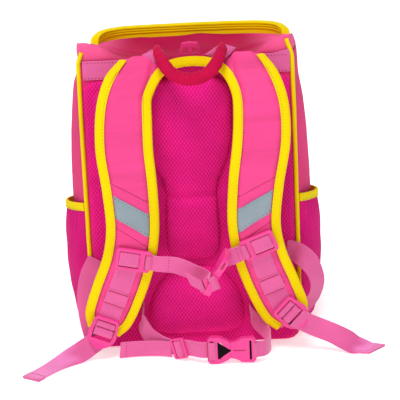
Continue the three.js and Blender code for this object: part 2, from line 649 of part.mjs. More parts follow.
// Side-release buckle: a plug and a socket that meet at the waist, with the strap slots at both ends.
const BUCKLE = { half: 14.5, waist: 8.5, plug: 27, socket: 30, thick: 8, corner: 3 };
const PLUG = { shoulder: 14, bend: 6, bendIn: 2, slotFrom: 23.5, slotTo: 20.5 };
const SOCKET = { shoulder: 13, bend: 8, bendOut: 0.5, half: 13.5, throat: 13, slotFrom: 22.5, slotTo: 25 };
const BUCKLE_SLOT_HALF = 10.5;
const PLUG_WINDOW = { foot: 13, half: 10, tip: 2 };
function bucklePlug() {
  const { half, waist, plug, corner } = BUCKLE;
  const s = new THREE.Shape();
  s.moveTo(-plug, -half + corner);
  s.lineTo(-plug + corner, -half).lineTo(-PLUG.shoulder, -half);
  s.quadraticCurveTo(-PLUG.bend, -half + PLUG.bendIn, 0, -waist).lineTo(0, waist);
  s.quadraticCurveTo(-PLUG.bend, half - PLUG.bendIn, -PLUG.shoulder, half);
  s.lineTo(-plug + corner, half).lineTo(-plug, half - corner);
  const window = new THREE.Path();
  window.moveTo(-PLUG_WINDOW.foot, -PLUG_WINDOW.half).lineTo(-PLUG_WINDOW.tip, 0);
  window.lineTo(-PLUG_WINDOW.foot, PLUG_WINDOW.half).lineTo(-PLUG_WINDOW.foot, -PLUG_WINDOW.half);
  s.holes.push(slot(-PLUG.slotFrom, -BUCKLE_SLOT_HALF, -PLUG.slotTo, BUCKLE_SLOT_HALF), window);
  return plate(s, BUCKLE.thick, 4);
}
function buckleSocket() {
  const { waist, socket, corner } = BUCKLE;
  const { shoulder, bend, bendOut, half, throat } = SOCKET;
  const s = new THREE.Shape();
  s.moveTo(GAP, -waist);
  s.quadraticCurveTo(bend, -waist - bendOut, shoulder, -throat).lineTo(socket - corner, -half);
  s.lineTo(socket, -half + corner).lineTo(socket, half - corner);
  s.lineTo(socket - corner, half).lineTo(shoulder, throat);
  s.quadraticCurveTo(bend, waist + bendOut, GAP, waist);
  s.holes.push(slot(SOCKET.slotFrom, -BUCKLE_SLOT_HALF, SOCKET.slotTo, BUCKLE_SLOT_HALF));
  return plate(s, BUCKLE.thick, 4);
}
// Sets a plug and a socket on one frame. A place on that frame is x along it, b across it and o out of it.
function buckle(name, middle, along, out) {
  const origin = middle.clone().addScaledVector(out, -BUCKLE.thick / 2);
  setOn(`${name}_plug`, bucklePlug(), origin, along, out);
  setOn(`${name}_socket`, buckleSocket(), origin, along, out);
  const across = out.clone().cross(along);
  const place = (x, b, o) =>
    middle.clone().addScaledVector(along, x).addScaledVector(across, b).addScaledVector(out, o);
  return { along, across, place };
}
const PLUG_END = -BUCKLE.plug - 2 * GAP;
const SOCKET_END = BUCKLE.socket + 2 * GAP;

// Chest strap: the fastened buckle hangs between the two sliders, with its face turned to the left. The left
// strap lies over the plug's bar, and the right strap goes behind the socket's.
const CHEST = {
  middle: vec(25.3, -66, 110.5),
  along: vec(0.465, -0.264, 0.846),
  out: vec(-0.66, -0.72, 0.14),
};
CHEST.along.normalize();
CHEST.out.addScaledVector(CHEST.along, -CHEST.out.dot(CHEST.along)).normalize();
const chest = buckle("chest_buckle", CHEST.middle, CHEST.along, CHEST.out);
const OVER_PLUG = { x: -18, from: 9, to: -10, o: BUCKLE.thick / 2 + 3 * GAP + WEBBING / 2 };
piece(
  "chest_webbing_left",
  webbing(
    [
      ...SLIDERS.left,
      row(vec(-22, -55.5, 118.5), vec(0.05, 0, 1)),
      row(vec(-4, -54.5, 110), vec(0.25, -0.1, 0.95)),
      row(chest.place(OVER_PLUG.x, OVER_PLUG.from, OVER_PLUG.o), chest.along),
      row(chest.place(OVER_PLUG.x, OVER_PLUG.to, OVER_PLUG.o), chest.along),
    ],
    NARROW_WEBBING,
  ),
  WEBBING_PINK,
);
piece(
  "chest_webbing_right",
  webbing(
    [row(vec(36, -64, 127), vec(-0.4, -0.05, 0.92)), ...SLIDERS.right.toReversed()],
    NARROW_WEBBING,
  ),
  WEBBING_PINK,
);

// Hip belt: it stands on its edge on the ground in front of the base, fastened by a like buckle.
const BELT_HEIGHT = 11;
const HIP_LEAD = 6; // the belt leaves its buckle straight for this far
const HIP = { middle: vec(38, -74, 15.2), along: vec(1, -0.05, 0), out: vec(-0.05, -1, 0) };
const hip = buckle("hip_buckle", HIP.middle, HIP.along.normalize(), HIP.out.normalize());
const KEEPER = { x: -22, y: -56.5, half: 12.5, halfLong: 10, thick: 3, turn: 0.6, corner: 2.5, foot: 0.3 };
const KEEPER_SLOTS = [{ from: -6.5, to: -3.5, half: 10.7 }, { from: 3.5, to: 6.5, half: 10.3 }];
function keeperFrame() {
  const { half, halfLong, corner } = KEEPER;
  const s = roundedRectangle(-halfLong, -half, halfLong, half, corner);
  KEEPER_SLOTS.forEach((r) => s.holes.push(slot(r.from, -r.half, r.to, r.half)));
  return plate(s, KEEPER.thick, 2);
}
const keeperAlong = vec(Math.cos(KEEPER.turn), -Math.sin(KEEPER.turn), 0);
const keeperOut = vec(-Math.sin(KEEPER.turn), -Math.cos(KEEPER.turn), 0);
const keeperPlace = vec(KEEPER.x, KEEPER.y, KEEPER.half + KEEPER.foot);
setOn("hip_slider", keeperFrame(), keeperPlace, keeperAlong, keeperOut);
piece(
  "hip_webbing_left",
  webbing(
    [
      row(vec(-64.5, -6.2, 50), vec(0.1, 0, 1)),
      row(vec(-65, -16, 48), vec(0.1, 0, 1)),
      row(vec(-66, -26, 41), vec(0.15, 0, 1)),
      row(vec(-60, -34, 26), vec(0.2, 0, 1)),
      row(vec(-46, -39.5, 15), vec(0.1, 0, 1)),
      row(vec(-31, -48.5, BELT_HEIGHT + 0.5), UPRIGHT),
      row(vec(-12, -61.5, BELT_HEIGHT + 0.5), UPRIGHT),
      row(hip.place(PLUG_END - HIP_LEAD, 0, 0), hip.across),
      row(hip.place(PLUG_END, 0, 0), hip.across),
    ],
    NARROW_WEBBING,
  ),
  WEBBING_PINK,
);
piece(
  "hip_tail",
  webbing(
    [
      row(keeperPlace.clone().addScaledVector(keeperAlong, -12).addScaledVector(keeperOut, 1.2), UPRIGHT),
      row(vec(-46, -46, BELT_HEIGHT), UPRIGHT),
      row(vec(-70, -44, BELT_HEIGHT), UPRIGHT),
      row(vec(-94, -46, BELT_HEIGHT), vec(0.15, 0, 1)),
    ],
    NARROW_WEBBING,
  ),
  WEBBING_PINK,
);
piece(
  "hip_webbing_right",
  webbing(
    [
      row(hip.place(SOCKET_END, 0, 0), hip.across),
      row(hip.place(SOCKET_END + HIP_LEAD, 0, 0), hip.across),
      row(vec(84, -63, 13.5), UPRIGHT),
      row(vec(86.5, -48, 17), UPRIGHT),
      row(vec(80, -34, 25), vec(0.1, 0, 1)),
      row(vec(70, -24, 34), vec(0.1, 0, 1)),
      row(vec(66, -14, 39), vec(-0.1, 0, 1)),
      row(vec(65.5, -5.2, 40), vec(-0.1, 0, 1)),
    ],
    NARROW_WEBBING,
  ),
  WEBBING_PINK,
);

// Lower webbing: sewn into each side seam, it loops down to the lock, and its free end runs out over the
// ground. onLock is a row at a distance along a lock and out of its face.
function onLock(lock, along, out) {
  const place = lock.origin.clone().addScaledVector(lock.along, along).addScaledVector(lock.out, out);
  return row(place, lock.across);
}
const LOCK_FACE = LOCK.thick + 2;
const LOWER = {
  left: {
    anchor: [
      row(vec(-117, -5.6, 113), vec(0.87, 0, -0.5)),
      row(vec(-120.5, -6.2, 107), vec(0.87, 0, -0.5)),
      row(vec(-127, -13, 94), vec(0.95, 0, -0.3)),
      row(vec(-131, -20, 72), vec(1, 0, -0.1)),
      row(vec(-130, -25, 48), vec(1, 0, 0)),
      row(vec(-125, -27, 20), vec(1, 0, 0.1)),
    ],
    tail: [
      row(vec(-121, -44.7, 24), vec(0.55, 0, -0.83)),
      row(vec(-128, -45, 19.4), vec(0.55, -0.05, -0.83)),
      row(vec(-141, -53, 12.2), vec(0.55, -0.35, -0.75)),
      row(vec(-156, -68, 7.4), vec(0.62, -0.6, -0.48)),
      row(vec(-174, -85, 4), vec(0.7, -0.7, -0.12)),
      row(vec(-196, -104, 2), vec(0.75, -0.66, 0)),
    ],
  },
  right: {
    anchor: [
      row(vec(112, -5.6, 115), vec(0.1, 0, 1)),
      row(vec(120, -6.2, 114), vec(0.1, 0, 1)),
      row(vec(130, -14, 109), vec(0.4, 0, 0.9)),
      row(vec(137, -20, 98), vec(0.65, 0, 0.75)),
      row(vec(142, -25, 79), vec(1, 0.1, 0.2)),
      row(vec(140, -27, 61), vec(1, 0.1, -0.1)),
      row(vec(134, -28, 49), vec(0.9, 0.1, -0.3)),
    ],
    tail: [
      onLock(LOCKS.right, 8, LOCK_FACE - 0.6),
      onLock(LOCKS.right, 24, LOCK_FACE),
      onLock(LOCKS.right, 40, LOCK_FACE),
      row(vec(172, -54.5, 19), vec(0.5, -0.3, 0.75)),
      row(vec(189, -57, 11), vec(0.48, -0.58, 0.55)),
      row(vec(206, -57.5, 5.6), vec(0.4, -0.85, 0.28)),
      row(vec(224, -54, 2.2), vec(0.25, -0.97, 0)),
    ],
  },
};
for (const [name, { anchor, tail }] of Object.entries(LOWER)) {
  piece(`lower_webbing_${name}`, webbing(anchor, WIDE_WEBBING), WEBBING_PINK);
  piece(`strap_tail_${name}`, webbing(tail, WIDE_WEBBING), WEBBING_PINK);
}

const backpack = new THREE.Group();
backpack.add(bag);
export default backpack;
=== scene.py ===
"""A child's ergonomic school backpack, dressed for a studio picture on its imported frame."""

import math

import bmesh
import bpy
import numpy as np
from bpy.props import FloatProperty, FloatVectorProperty, IntProperty, PointerProperty
from mathutils import Matrix, Vector, noise


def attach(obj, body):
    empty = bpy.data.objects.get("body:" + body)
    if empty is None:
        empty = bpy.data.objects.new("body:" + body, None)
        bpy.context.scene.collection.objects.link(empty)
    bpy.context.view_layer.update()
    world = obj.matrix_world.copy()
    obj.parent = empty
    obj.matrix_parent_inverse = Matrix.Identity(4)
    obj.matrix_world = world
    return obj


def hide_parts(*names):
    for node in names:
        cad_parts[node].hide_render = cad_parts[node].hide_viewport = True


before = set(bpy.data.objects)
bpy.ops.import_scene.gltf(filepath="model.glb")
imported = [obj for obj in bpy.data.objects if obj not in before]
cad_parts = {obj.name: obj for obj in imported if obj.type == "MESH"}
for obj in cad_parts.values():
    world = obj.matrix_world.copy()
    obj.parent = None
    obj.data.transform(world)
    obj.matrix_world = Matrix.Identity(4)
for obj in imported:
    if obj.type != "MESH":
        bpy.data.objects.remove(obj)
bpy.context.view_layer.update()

bl_info = {
    "name": "School backpack",
    "version": (1, 0, 0),
    "blender": (4, 5, 0),
    "location": "View3D > Sidebar > Backpack",
    "description": "Sews a child's ergonomic backpack on its packed frame",
    "category": "Object",
}

SIDES = {"left": -1, "right": 1}

# Bag millimetres: x to the right, y to the front of the bag from its back wall, z up.
BASE_MIDDLE_Y = 79.0  # from the back wall to the middle of the base
GAP = 0.4  # between pieces that are sewn together
BACK_CORNER = 9.0
FRONT_CORNER = 44.0
FRONT_BULGE = 6.0
OUTLINE_FINE = 8  # points on a front corner of the bag's outline
WALL = 2.4  # thickness of the bag's cloth
WIDE = 25.0  # webbing of the shoulder straps
NARROW = 20.0  # webbing of the chest strap and the hip belt
TAPE = 1.5  # thickness of all webbing
HEM_SWELL = 2.1  # a folded end is this much thicker

# The bag's outline: height, half widths at the back, middle and front, nearest y and depth.
SHELL = np.array([
    (0, 117, 136, 135, 5, 152),
    (4, 122, 142, 141, 1.5, 158),
    (14, 126, 146, 145, 0, 163),
    (60, 127, 148, 147, 0, 168),
    (130, 127, 149, 148, 0, 170),
    (210, 126.5, 148, 146, 0, 169),
    (290, 126, 142, 140, 0, 164),
    (352, 125, 132, 127, 0, 160),
], float)
MOUTH = SHELL[-1]
MOUTH_INSET = 4.0  # the mouth is this much narrower than the outline below it
MOUTH_SHIFT = 7.0  # and sits this much to the right
LEAN_FROM = 318.0  # height where the walls start to lean in to it
BASE_ROLL = 11.0  # most that the back's foot rolls forward
FOLD_DEPTH = 2.6  # most that the side cloth's soft folds sink in
FLOOR_RISE = 3.0  # height of the bag's floor inside
FLOOR_INSET = 4.4  # from the outline to that floor's edge
INSIDE_FROM = 14.0  # the inside's walls start over this height
WALL_PADDING = 3.0  # most that the walls are padded

# A shoulder strap: height, distance from the middle, sway to the right, distance ahead and width.
STRAP = np.array([
    (355, 58, 8, 1.8, 52),
    (339, 67, 7, 27, 57),
    (322, 75.5, 6, 40, 60),
    (297, 79, 6, 50, 65),
    (261, 78.5, 4.5, 56, 66),
    (214, 73, 2.5, 56, 64),
    (164, 71, 1, 50, 62),
    (122, 78, 0.5, 44, 62),
    (81, 93, 0, 40, 63),
    (50, 106, 0, 38, 58),
    (33, 113, 0, 38, 40),
], float)
STRAP_BEND = 0.2  # share of the strap that turns over the shoulder
STRAP_LENGTH = 420.0
STRAP_INSET = 2.1  # the padding ends this far inside the strap's edge
STRAP_EDGE = 0.9  # half the strap's thickness there
STRAP_BEVEL = 9.3  # width over which the cloth rises by a millimetre
STRAP_SWELL = 3.1  # height of the padding over that
STRAP_WAVES = 0.35  # height of the padding's soft waves
PUCKER_PITCH = 7.5  # from one pucker along the binding to the next
PUCKER_DEPTH = 0.3


# Small helpers for shapes.
def unit(v):
    v = np.asarray(v, float)
    return v / np.linalg.norm(v, axis=-1, keepdims=True)


def step(x, low, high):
    """A soft step from 0 at low to 1 at high."""
    t = np.clip((np.asarray(x, float) - low) / (high - low), 0, 1)
    return t * t * (3 - 2 * t)


def curve(points, shares, even=True, closed=False, tension=0.5):
    """Places at shares of a smooth curve through points; uneven knots follow the points' distances."""
    p = np.asarray(points, float)
    p = p.reshape(len(p), -1)
    if closed:
        p = np.concatenate([p[-1:], p, p[:2]])
    else:
        p = np.concatenate([[2 * p[0] - p[1]], p, [2 * p[-1] - p[-2]]])
    spans = len(p) - 3
    found = []
    for share in np.atleast_1d(shares):
        i = int(min(max(math.floor(share * spans), 0), spans - 1))
        w = share * spans - i
        a, b, c, d = p[i:i + 4]
        if even:
            leave, arrive = tension * (c - a), tension * (d - b)
        else:
            e, f, g = (max(np.linalg.norm(q - r), 1e-8) ** 0.5 for q, r in ((b, a), (c, b), (d, c)))
            leave = ((b - a) / e - (c - a) / (e + f) + (c - b) / f) * f
            arrive = ((c - b) / f - (d - b) / (f + g) + (d - c) / g) * f
        bend = 3 * (c - b) - 2 * leave - arrive
        found.append(b + w * leave + w * w * bend + w ** 3 * (2 * (b - c) + leave + arrive))
    return np.array(found)


def ripple(point, size, seed=0.0):
    """A smooth value from -1 to 1 that changes over about size millimetres."""
    x, y, z = (float(c) / size + seed for c in point)
    return noise.noise(Vector((x, y, z)))


def in_row(points):
    """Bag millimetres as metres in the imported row's frame."""
    return (np.asarray(points, float).reshape(-1, 3) - (0, BASE_MIDDLE_Y, 0)) / 1000


def object_of(name, points, faces, uvs=None):
    mesh = bpy.data.meshes.new(name)
    mesh.from_pydata(in_row(points).tolist(), [], faces)
    if uvs is not None:
        layer = mesh.uv_layers.new(name="cloth")
        layer.data.foreach_set("uv", np.asarray(uvs, np.float32).ravel() / 1000)
    obj = bpy.data.objects.new(name, mesh)
    bpy.context.scene.collection.objects.link(obj)
    return obj


def outward(obj):
    made = bmesh.new()
    made.from_mesh(obj.data)
    bmesh.ops.recalc_face_normals(made, faces=made.faces)
    made.to_mesh(obj.data)
    made.free()


def loft(name, rings, closed=True, caps=True):
    """Quads through rings of equal counts. The UV map is cloth length in metres, across and along."""
    rings = np.asarray(rings, float)
    rows, count = rings.shape[:2]
    around = np.concatenate([rings, rings[:, :1]], axis=1) if closed else rings
    across = np.linalg.norm(np.diff(around, axis=1), axis=2).mean(0)
    along = np.linalg.norm(np.diff(rings, axis=0), axis=2).mean(1)
    u = np.concatenate([[0], np.cumsum(across)])
    v = np.concatenate([[0], np.cumsum(along)])
    faces, uvs = [], []
    for i in range(rows - 1):
        for j in range(len(u) - 1):
            k = (j + 1) % count
            faces.append((i * count + j, i * count + k, (i + 1) * count + k, (i + 1) * count + j))
            uvs += [(u[j], v[i]), (u[j + 1], v[i]), (u[j + 1], v[i + 1]), (u[j], v[i + 1])]
    if caps:
        last = (rows - 1) * count
        faces.append(tuple(range(count))[::-1])
        uvs += [(u[j], v[0]) for j in range(count)][::-1]
        faces.append(tuple(last + j for j in range(count)))
        uvs += [(u[j], v[-1]) for j in range(count)]
    obj = object_of(name, rings, faces, uvs)
    outward(obj)
    return obj


def lay_flat_map(obj, right=(1, 0, 0), up=(0, 0, 1)):
    """A UV map of cloth length in metres, seen straight along the piece's face."""
    mesh = obj.data
    layer = mesh.uv_layers.get("cloth") or mesh.uv_layers.new(name="cloth")
    places = np.zeros(len(mesh.vertices) * 3)
    mesh.vertices.foreach_get("co", places)
    places = places.reshape(-1, 3)
    corners = np.zeros(len(mesh.loops), np.int32)
    mesh.loops.foreach_get("vertex_index", corners)
    flat = np.stack([places @ np.array(right, float), places @ np.array(up, float)], axis=1)
    layer.data.foreach_set("uv", flat[corners].astype(np.float32).ravel())


def mark_painted_highlight(obj, rule):
    """Marks how much of the painted highlight colour the cloth takes at each point."""
    pull = obj.data.attributes.new("pull", "FLOAT", "POINT")
    pull.data.foreach_set("value", [float(rule(v)) for v in obj.data.vertices])


def use_alone(obj):
    bpy.ops.object.select_all(action="DESELECT")
    obj.select_set(True)
    bpy.context.view_layer.objects.active = obj


def apply_modifier(obj, kind, **settings):
    use_alone(obj)
    made = obj.modifiers.new(kind.lower(), kind)
    for key, value in settings.items():
        setattr(made, key, value)
    bpy.ops.object.modifier_apply(modifier=made.name)


def settle(obj, finish, nodes=(), angle=40):
    """Finishes a piece: its cloth or plastic, its shading, and the body and nodes that it belongs to."""
    obj.data.materials.clear()
    obj.data.materials.append(MATERIALS[finish])
    obj.data.shade_smooth()
    obj.data.set_sharp_from_angle(angle=math.radians(angle))
    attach(obj, "root")
    if nodes:
        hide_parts(*nodes)
    return obj


def join(name, pieces):
    """One object from several, each with its own mesh until then."""
    use_alone(pieces[0])
    for piece in pieces:
        piece.select_set(True)
    if len(pieces) > 1:
        bpy.ops.object.join()
    pieces[0].name = name
    pieces[0].data.name = name
    return pieces[0]


# The bag's own shapes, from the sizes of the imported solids.
def bend(a, b, c, count):
    """Places on the curve from a to c that leaves a and reaches c towards b, without its start."""
    t = np.linspace(0, 1, count + 1)[1:, None]
    return (1 - t) ** 2 * np.array(a) + 2 * t * (1 - t) * np.array(b) + t * t * np.array(c)


def side_bend(row, inset=0.0):
    """The right side wall's level curve: its start at the back, the point that pulls it out, and its end."""
    _, back, middle, front, near, depth = row
    start = np.array((back - inset, near + inset + BACK_CORNER))
    end = np.array((front - inset, depth - inset - FRONT_CORNER))
    through = np.array((middle - inset, (start[1] + end[1]) / 2))
    return start, 2 * through - start / 2 - end / 2, end


def outline(row, inset, fine=OUTLINE_FINE):
    """The bag's level outline as x and y, from its back left corner round by the right."""
    start, pull, end = side_bend(row, inset)
    near, depth = row[4] + inset, row[5] - inset
    corner = end[0] + (end[0] - pull[0]) / (end[1] - pull[1]) * FRONT_CORNER
    flat = start[0] - BACK_CORNER
    right = [
        bend((flat, near), (start[0], near), start, max(fine // 2, 3)),
        bend(start, pull, end, 3 * fine),
        bend(end, (corner, depth), (corner - FRONT_CORNER, depth), fine),
    ]
    turn = corner - FRONT_CORNER
    front_run = bend((turn, depth), (0, depth + FRONT_BULGE), (-turn, depth), 4 * fine)
    straight = np.stack([np.linspace(-flat, flat, 4 * fine + 1), np.full(4 * fine + 1, near)], axis=1)
    side = np.concatenate([[(flat, near)], *right])
    left = (side * (-1, 1))[::-1][1:-1]
    return np.concatenate([straight, *right, front_run, left])


def base_roll(y, z):
    """How far the back's foot rolls forward."""
    return BASE_ROLL * ((1 - step(z, 0, 30)) * (1 - step(y, 4, 32)))


def mouth_lean(flat, row, inset, fine, share):
    """Moves an outline's sides and front in to the mouth, which is narrower and a little to the right."""
    inner = outline(row, inset + MOUTH_INSET, fine)
    part = (share * step(flat[:, 1], 20, 80))[:, None]
    return flat + (inner - flat + (MOUTH_SHIFT, 0)) * part


def mouth_line(inset, fine=OUTLINE_FINE):
    return mouth_lean(outline(MOUTH, inset, fine), MOUTH, inset, fine, 1.0)


def shell_row(height):
    return np.array([np.interp(height, SHELL[:, 0], SHELL[:, k]) for k in range(SHELL.shape[1])])


def side_curve(height, share):
    """A place and an outward direction on the right side wall, share 0 at the back and 1 at the front."""
    start, pull, end = side_bend(shell_row(height))
    place = (1 - share) ** 2 * start + 2 * share * (1 - share) * pull + share ** 2 * end
    way = unit((1 - share) * (pull - start) + share * (end - pull))
    return place, np.array((way[1], -way[0]))


def strap_frame(side, t):
    """Origin, along, across and out of a shoulder strap's middle surface, with its half width."""
    line = np.stack([side * STRAP[:, 1] + STRAP[:, 2], -STRAP[:, 3], STRAP[:, 0]], axis=1)
    before, after = curve(line, [max(t - 1e-4, 0), min(t + 1e-4, 1)])
    along = unit(after - before)
    along[0] *= step(t, 0, STRAP_BEND)
    along = unit(along)
    across = unit(np.cross((0, -1, 0), along))
    half = curve(STRAP[:, 4] / 2, [t])[0, 0]
    return curve(line, [t])[0], along, across, np.cross(along, across), half


# Bands sewn on a strap: their ends as shares of its length and their half widths. The reflector is skewed by
# a share too, and a band of cloth frames it with a border.
REFLECTOR = {"from": 0.535, "to": 0.592, "half": 19.5, "skew": 0.026, "border": 0.028}
SEWN_WEBBING = {"from": 0.655, "to": 0.925, "half": WIDE / 2}
REFLECTOR_LIFT = 0.35
REFLECTOR_THICK = 0.7
BORDER_THICK = 0.55
BORDER_SEAM = 0.5  # depth of the seams along the border


def strap_face(side, t, a):
    """Height of the strap's padded face at a millimetres across from its middle."""
    half = curve(STRAP[:, 4] / 2, [t])[0, 0]
    d = max(half - STRAP_INSET - abs(a), 0)
    down = t * STRAP_LENGTH
    rise = STRAP_EDGE + min(d / STRAP_BEVEL, 1) + STRAP_SWELL * step(d, 8.4, 14.5) ** 0.8
    rise += STRAP_WAVES * ripple((down, a, 0), 26, 3.1 * side) * step(d, 8, 16)
    rise += PUCKER_DEPTH * math.sin(down / PUCKER_PITCH * 2 * math.pi) * math.exp(-((d - 12) / 3.5) ** 2)
    # The cloth band that frames the reflector is sewn on top.
    s = t + side * REFLECTOR["skew"] * a / REFLECTOR["half"]
    low, high = REFLECTOR["from"] - REFLECTOR["border"], REFLECTOR["to"] + REFLECTOR["border"]
    rise += BORDER_THICK * (step(s, low - 0.002, low + 0.002) * (1 - step(s, high - 0.002, high + 0.002)))
    for edge in (low, high):
        rise -= BORDER_SEAM * math.exp(-((s - edge) / 0.003) ** 2)
    return rise


def on_strap(side, t, a, lift):
    origin, _, across, out, _ = strap_frame(side, t)
    return origin + across * a + out * lift


# Webbing.
def strip_line(rows, shares, even=False, skewed=False):
    """Places, across directions and face directions at shares of a strap's length. A skewed strap keeps its
    rows' slant, and its across directions are longer there so that it keeps its width."""
    ways = [unit(rows[0][1])]
    for _, way in rows[1:]:
        way = unit(way)
        ways.append(way if way @ ways[-1] >= 0 else -way)
    places = np.array([r[0] for r in rows], float)
    near = np.clip(np.asarray(shares, float)[:, None] + (-1e-3, 1e-3), 0, 1)
    before, after = curve(places, near[:, 0], even=even), curve(places, near[:, 1], even=even)
    along = unit(after - before)
    across = curve(ways, shares)
    square = across - (across * along).sum(1, keepdims=True) * along
    if skewed:
        across = across / np.maximum(np.linalg.norm(square, axis=1, keepdims=True), 0.7)
    else:
        across = unit(square)
    return curve(places, shares, even=even), across, unit(np.cross(along, across))


def strip(name, rows, width, fine=8, thick=TAPE, hem=0.0, skewed=False):
    """A flat strap through rows of place and across direction, with soft edges, and its length. hem is the
    length of a folded end."""
    shares = np.linspace(0, 1, fine * (len(rows) - 1) + 1)
    line, across, out = strip_line(rows, shares, skewed=skewed or hem > 0)
    done = np.concatenate([[0], np.cumsum(np.linalg.norm(np.diff(line, axis=0), axis=1))])
    half, flat, o = width / 2, width / 2 - 0.5, thick / 2
    section = [(-flat, -o), (-half / 3, -o), (half / 3, -o), (flat, -o), (half, 0),
               (flat, o), (half / 3, o), (-half / 3, o), (-flat, o), (-half, 0)]
    rings = []
    for i in range(len(line)):
        swell = HEM_SWELL if hem and done[-1] - done[i] < hem else 1
        rings.append([line[i] + across[i] * a + out[i] * b * swell for a, b in section])
    return loft(name, rings), done[-1]


def stitches(name, places, ways, outs, finish, long=2.6, thick=0.55, lift=0.15, sunk=0.4):
    """A row of thread stitches, one small spindle at each place, whose ends are sunk in the cloth. The ways
    along and out of the row are one for each place, or one for all."""
    shape = (len(places), 3)
    points, faces = [], []
    for place, way, out in zip(places, np.broadcast_to(ways, shape), np.broadcast_to(outs, shape)):
        way, out = unit(way), unit(out)
        side = np.cross(way, out)
        base = len(points)
        middle = np.asarray(place, float) + out * lift
        points += [middle - way * long / 2 - out * sunk, middle + way * long / 2 - out * sunk]
        points += [middle + side * thick, middle + out * thick, middle - side * thick, middle - out * thick]
        ring = [2, 3, 4, 5]
        for k in range(4):
            a, b = ring[k], ring[(k + 1) % 4]
            faces += [(base, base + a, base + b), (base + 1, base + b, base + a)]
    obj = object_of(name, points, faces)
    outward(obj)
    return settle(obj, finish, angle=80)


# Materials.
def linear(hex_colour):
    """An sRGB hex colour as linear red, green, blue and a full alpha."""
    parts = [int(hex_colour[i:i + 2], 16) / 255 for i in (1, 3, 5)]
    return [c / 12.92 if c <= 0.04045 else ((c + 0.055) / 1.055) ** 2.4 for c in parts] + [1.0]


def tint(colour, share, white=0.0):
    """A colour made darker or lighter by a share of its own value, with a little white added."""
    return [min(c * share + white, 1.0) for c in colour[:3]] + [1.0]


def shades(colour, low, high=1.0, white=0.0):
    """A pattern's two colours: painted shade in its hollows and, where lighter, painted highlight on its
    heights.
    """
    return tint(colour, low), tint(colour, high, white)


def add(tree, kind, sockets=None, **settings):
    """Adds a node, sets it up, and gives its sockets a value or another node's output."""
    node = tree.nodes.new(kind)
    for key, value in settings.items():
        setattr(node, key, value)
    for key, value in (sockets or {}).items():
        if isinstance(value, bpy.types.NodeSocket):
            tree.links.new(value, node.inputs[key])
        else:
            node.inputs[key].default_value = value
    return node


def surface(name, **constants):
    """A new material with its Principled shader, whose constants are set on the shader's own sockets."""
    made = bpy.data.materials.new(name)
    made.use_nodes = True
    tree = made.node_tree
    shader = tree.nodes["Principled BSDF"]
    for key, value in constants.items():
        shader.inputs[key.replace("_", " ")].default_value = value
    return made, tree, shader


def wave(tree, value, pitch_mm):
    """The sine of a length in metres that repeats every pitch_mm."""
    turns = add(tree, "ShaderNodeMath", {0: value, 1: 2 * math.pi * 1000 / pitch_mm}, operation="MULTIPLY")
    return add(tree, "ShaderNodeMath", {0: turns.outputs[0]}, operation="SINE").outputs[0]


def patterned(name, colours, pattern, depth_mm, roughness, cloudy=0.25, cloud_mm=60, rough_swing=0.1,
              painted_highlight=None, drawn=(1, 1, 1), **constants):
    """Cloth or plastic whose pattern function gives a height from 0 to 1. Its colours run from low to high:
    on a weave, ribs or mesh that is painted shade in the hollows and painted highlight on the heights. Soft
    clouds darken it, long where drawn is small. Points marked with pull take the painted highlight colour."""
    made, tree, shader = surface(name, **constants)
    uv = add(tree, "ShaderNodeUVMap", uv_map="cloth")
    at = add(tree, "ShaderNodeSeparateXYZ", {0: uv.outputs[0]})
    here = add(tree, "ShaderNodeTexCoord").outputs["Object"]
    height = pattern(tree, at.outputs[0], at.outputs[1], here)
    spread = add(tree, "ShaderNodeVectorMath", {0: here, 1: drawn}, operation="MULTIPLY").outputs[0]
    cloud = add(tree, "ShaderNodeTexNoise", {"Vector": spread, "Scale": 1000 / cloud_mm, "Detail": 3.0})
    low, high = colours
    mixed = add(tree, "ShaderNodeMix", {0: height, 6: low, 7: high}, data_type="RGBA")
    if painted_highlight:
        pull = add(tree, "ShaderNodeAttribute", attribute_name="pull").outputs["Fac"]
        mixed = add(tree, "ShaderNodeMix", {0: pull, 6: mixed.outputs[2], 7: painted_highlight}, data_type="RGBA")
    shade = add(tree, "ShaderNodeMapRange", {0: cloud.outputs[0], 1: 0.3, 2: 0.7, 3: 1 - cloudy, 4: 1.0})
    dim = add(tree, "ShaderNodeMix", {0: 1.0, 6: mixed.outputs[2], 7: shade.outputs[0]}, data_type="RGBA",
              blend_type="MULTIPLY")
    tree.links.new(dim.outputs[2], shader.inputs["Base Color"])
    smoothest, roughest = roughness - rough_swing, roughness + rough_swing
    rough = add(tree, "ShaderNodeMapRange", {0: height, 3: roughest, 4: smoothest})
    tree.links.new(rough.outputs[0], shader.inputs["Roughness"])
    bump = add(tree, "ShaderNodeBump", {"Strength": 1.0, "Distance": depth_mm / 1000, "Height": height})
    tree.links.new(bump.outputs[0], shader.inputs["Normal"])
    return made


def cushions(tree, u, v, across_mm, along_mm):
    """Waves along and across the cloth that make a checker of cushions, from -1 to 1."""
    across, along = wave(tree, u, across_mm), wave(tree, v, along_mm)
    return add(tree, "ShaderNodeMath", {0: across, 1: along}, operation="MULTIPLY").outputs[0]


def weave_of(pitch_mm):
    """Plain weave: threads pass over and under in a checker of small cushions."""
    def pattern(tree, u, v, here):
        both = cushions(tree, u, v, pitch_mm, pitch_mm)
        return add(tree, "ShaderNodeMapRange", {0: both, 1: -1.0, 2: 1.0}).outputs[0]
    return pattern


def bumps_of(across_mm, along_mm):
    """Spacer mesh: rows of raised yarn loops, each row set between the loops of the next."""
    def pattern(tree, u, v, here):
        both = cushions(tree, u, v, across_mm, along_mm)
        return add(tree, "ShaderNodeMapRange", {0: both, 1: -0.35, 2: 0.85},
                   interpolation_type="SMOOTHSTEP").outputs[0]
    return pattern


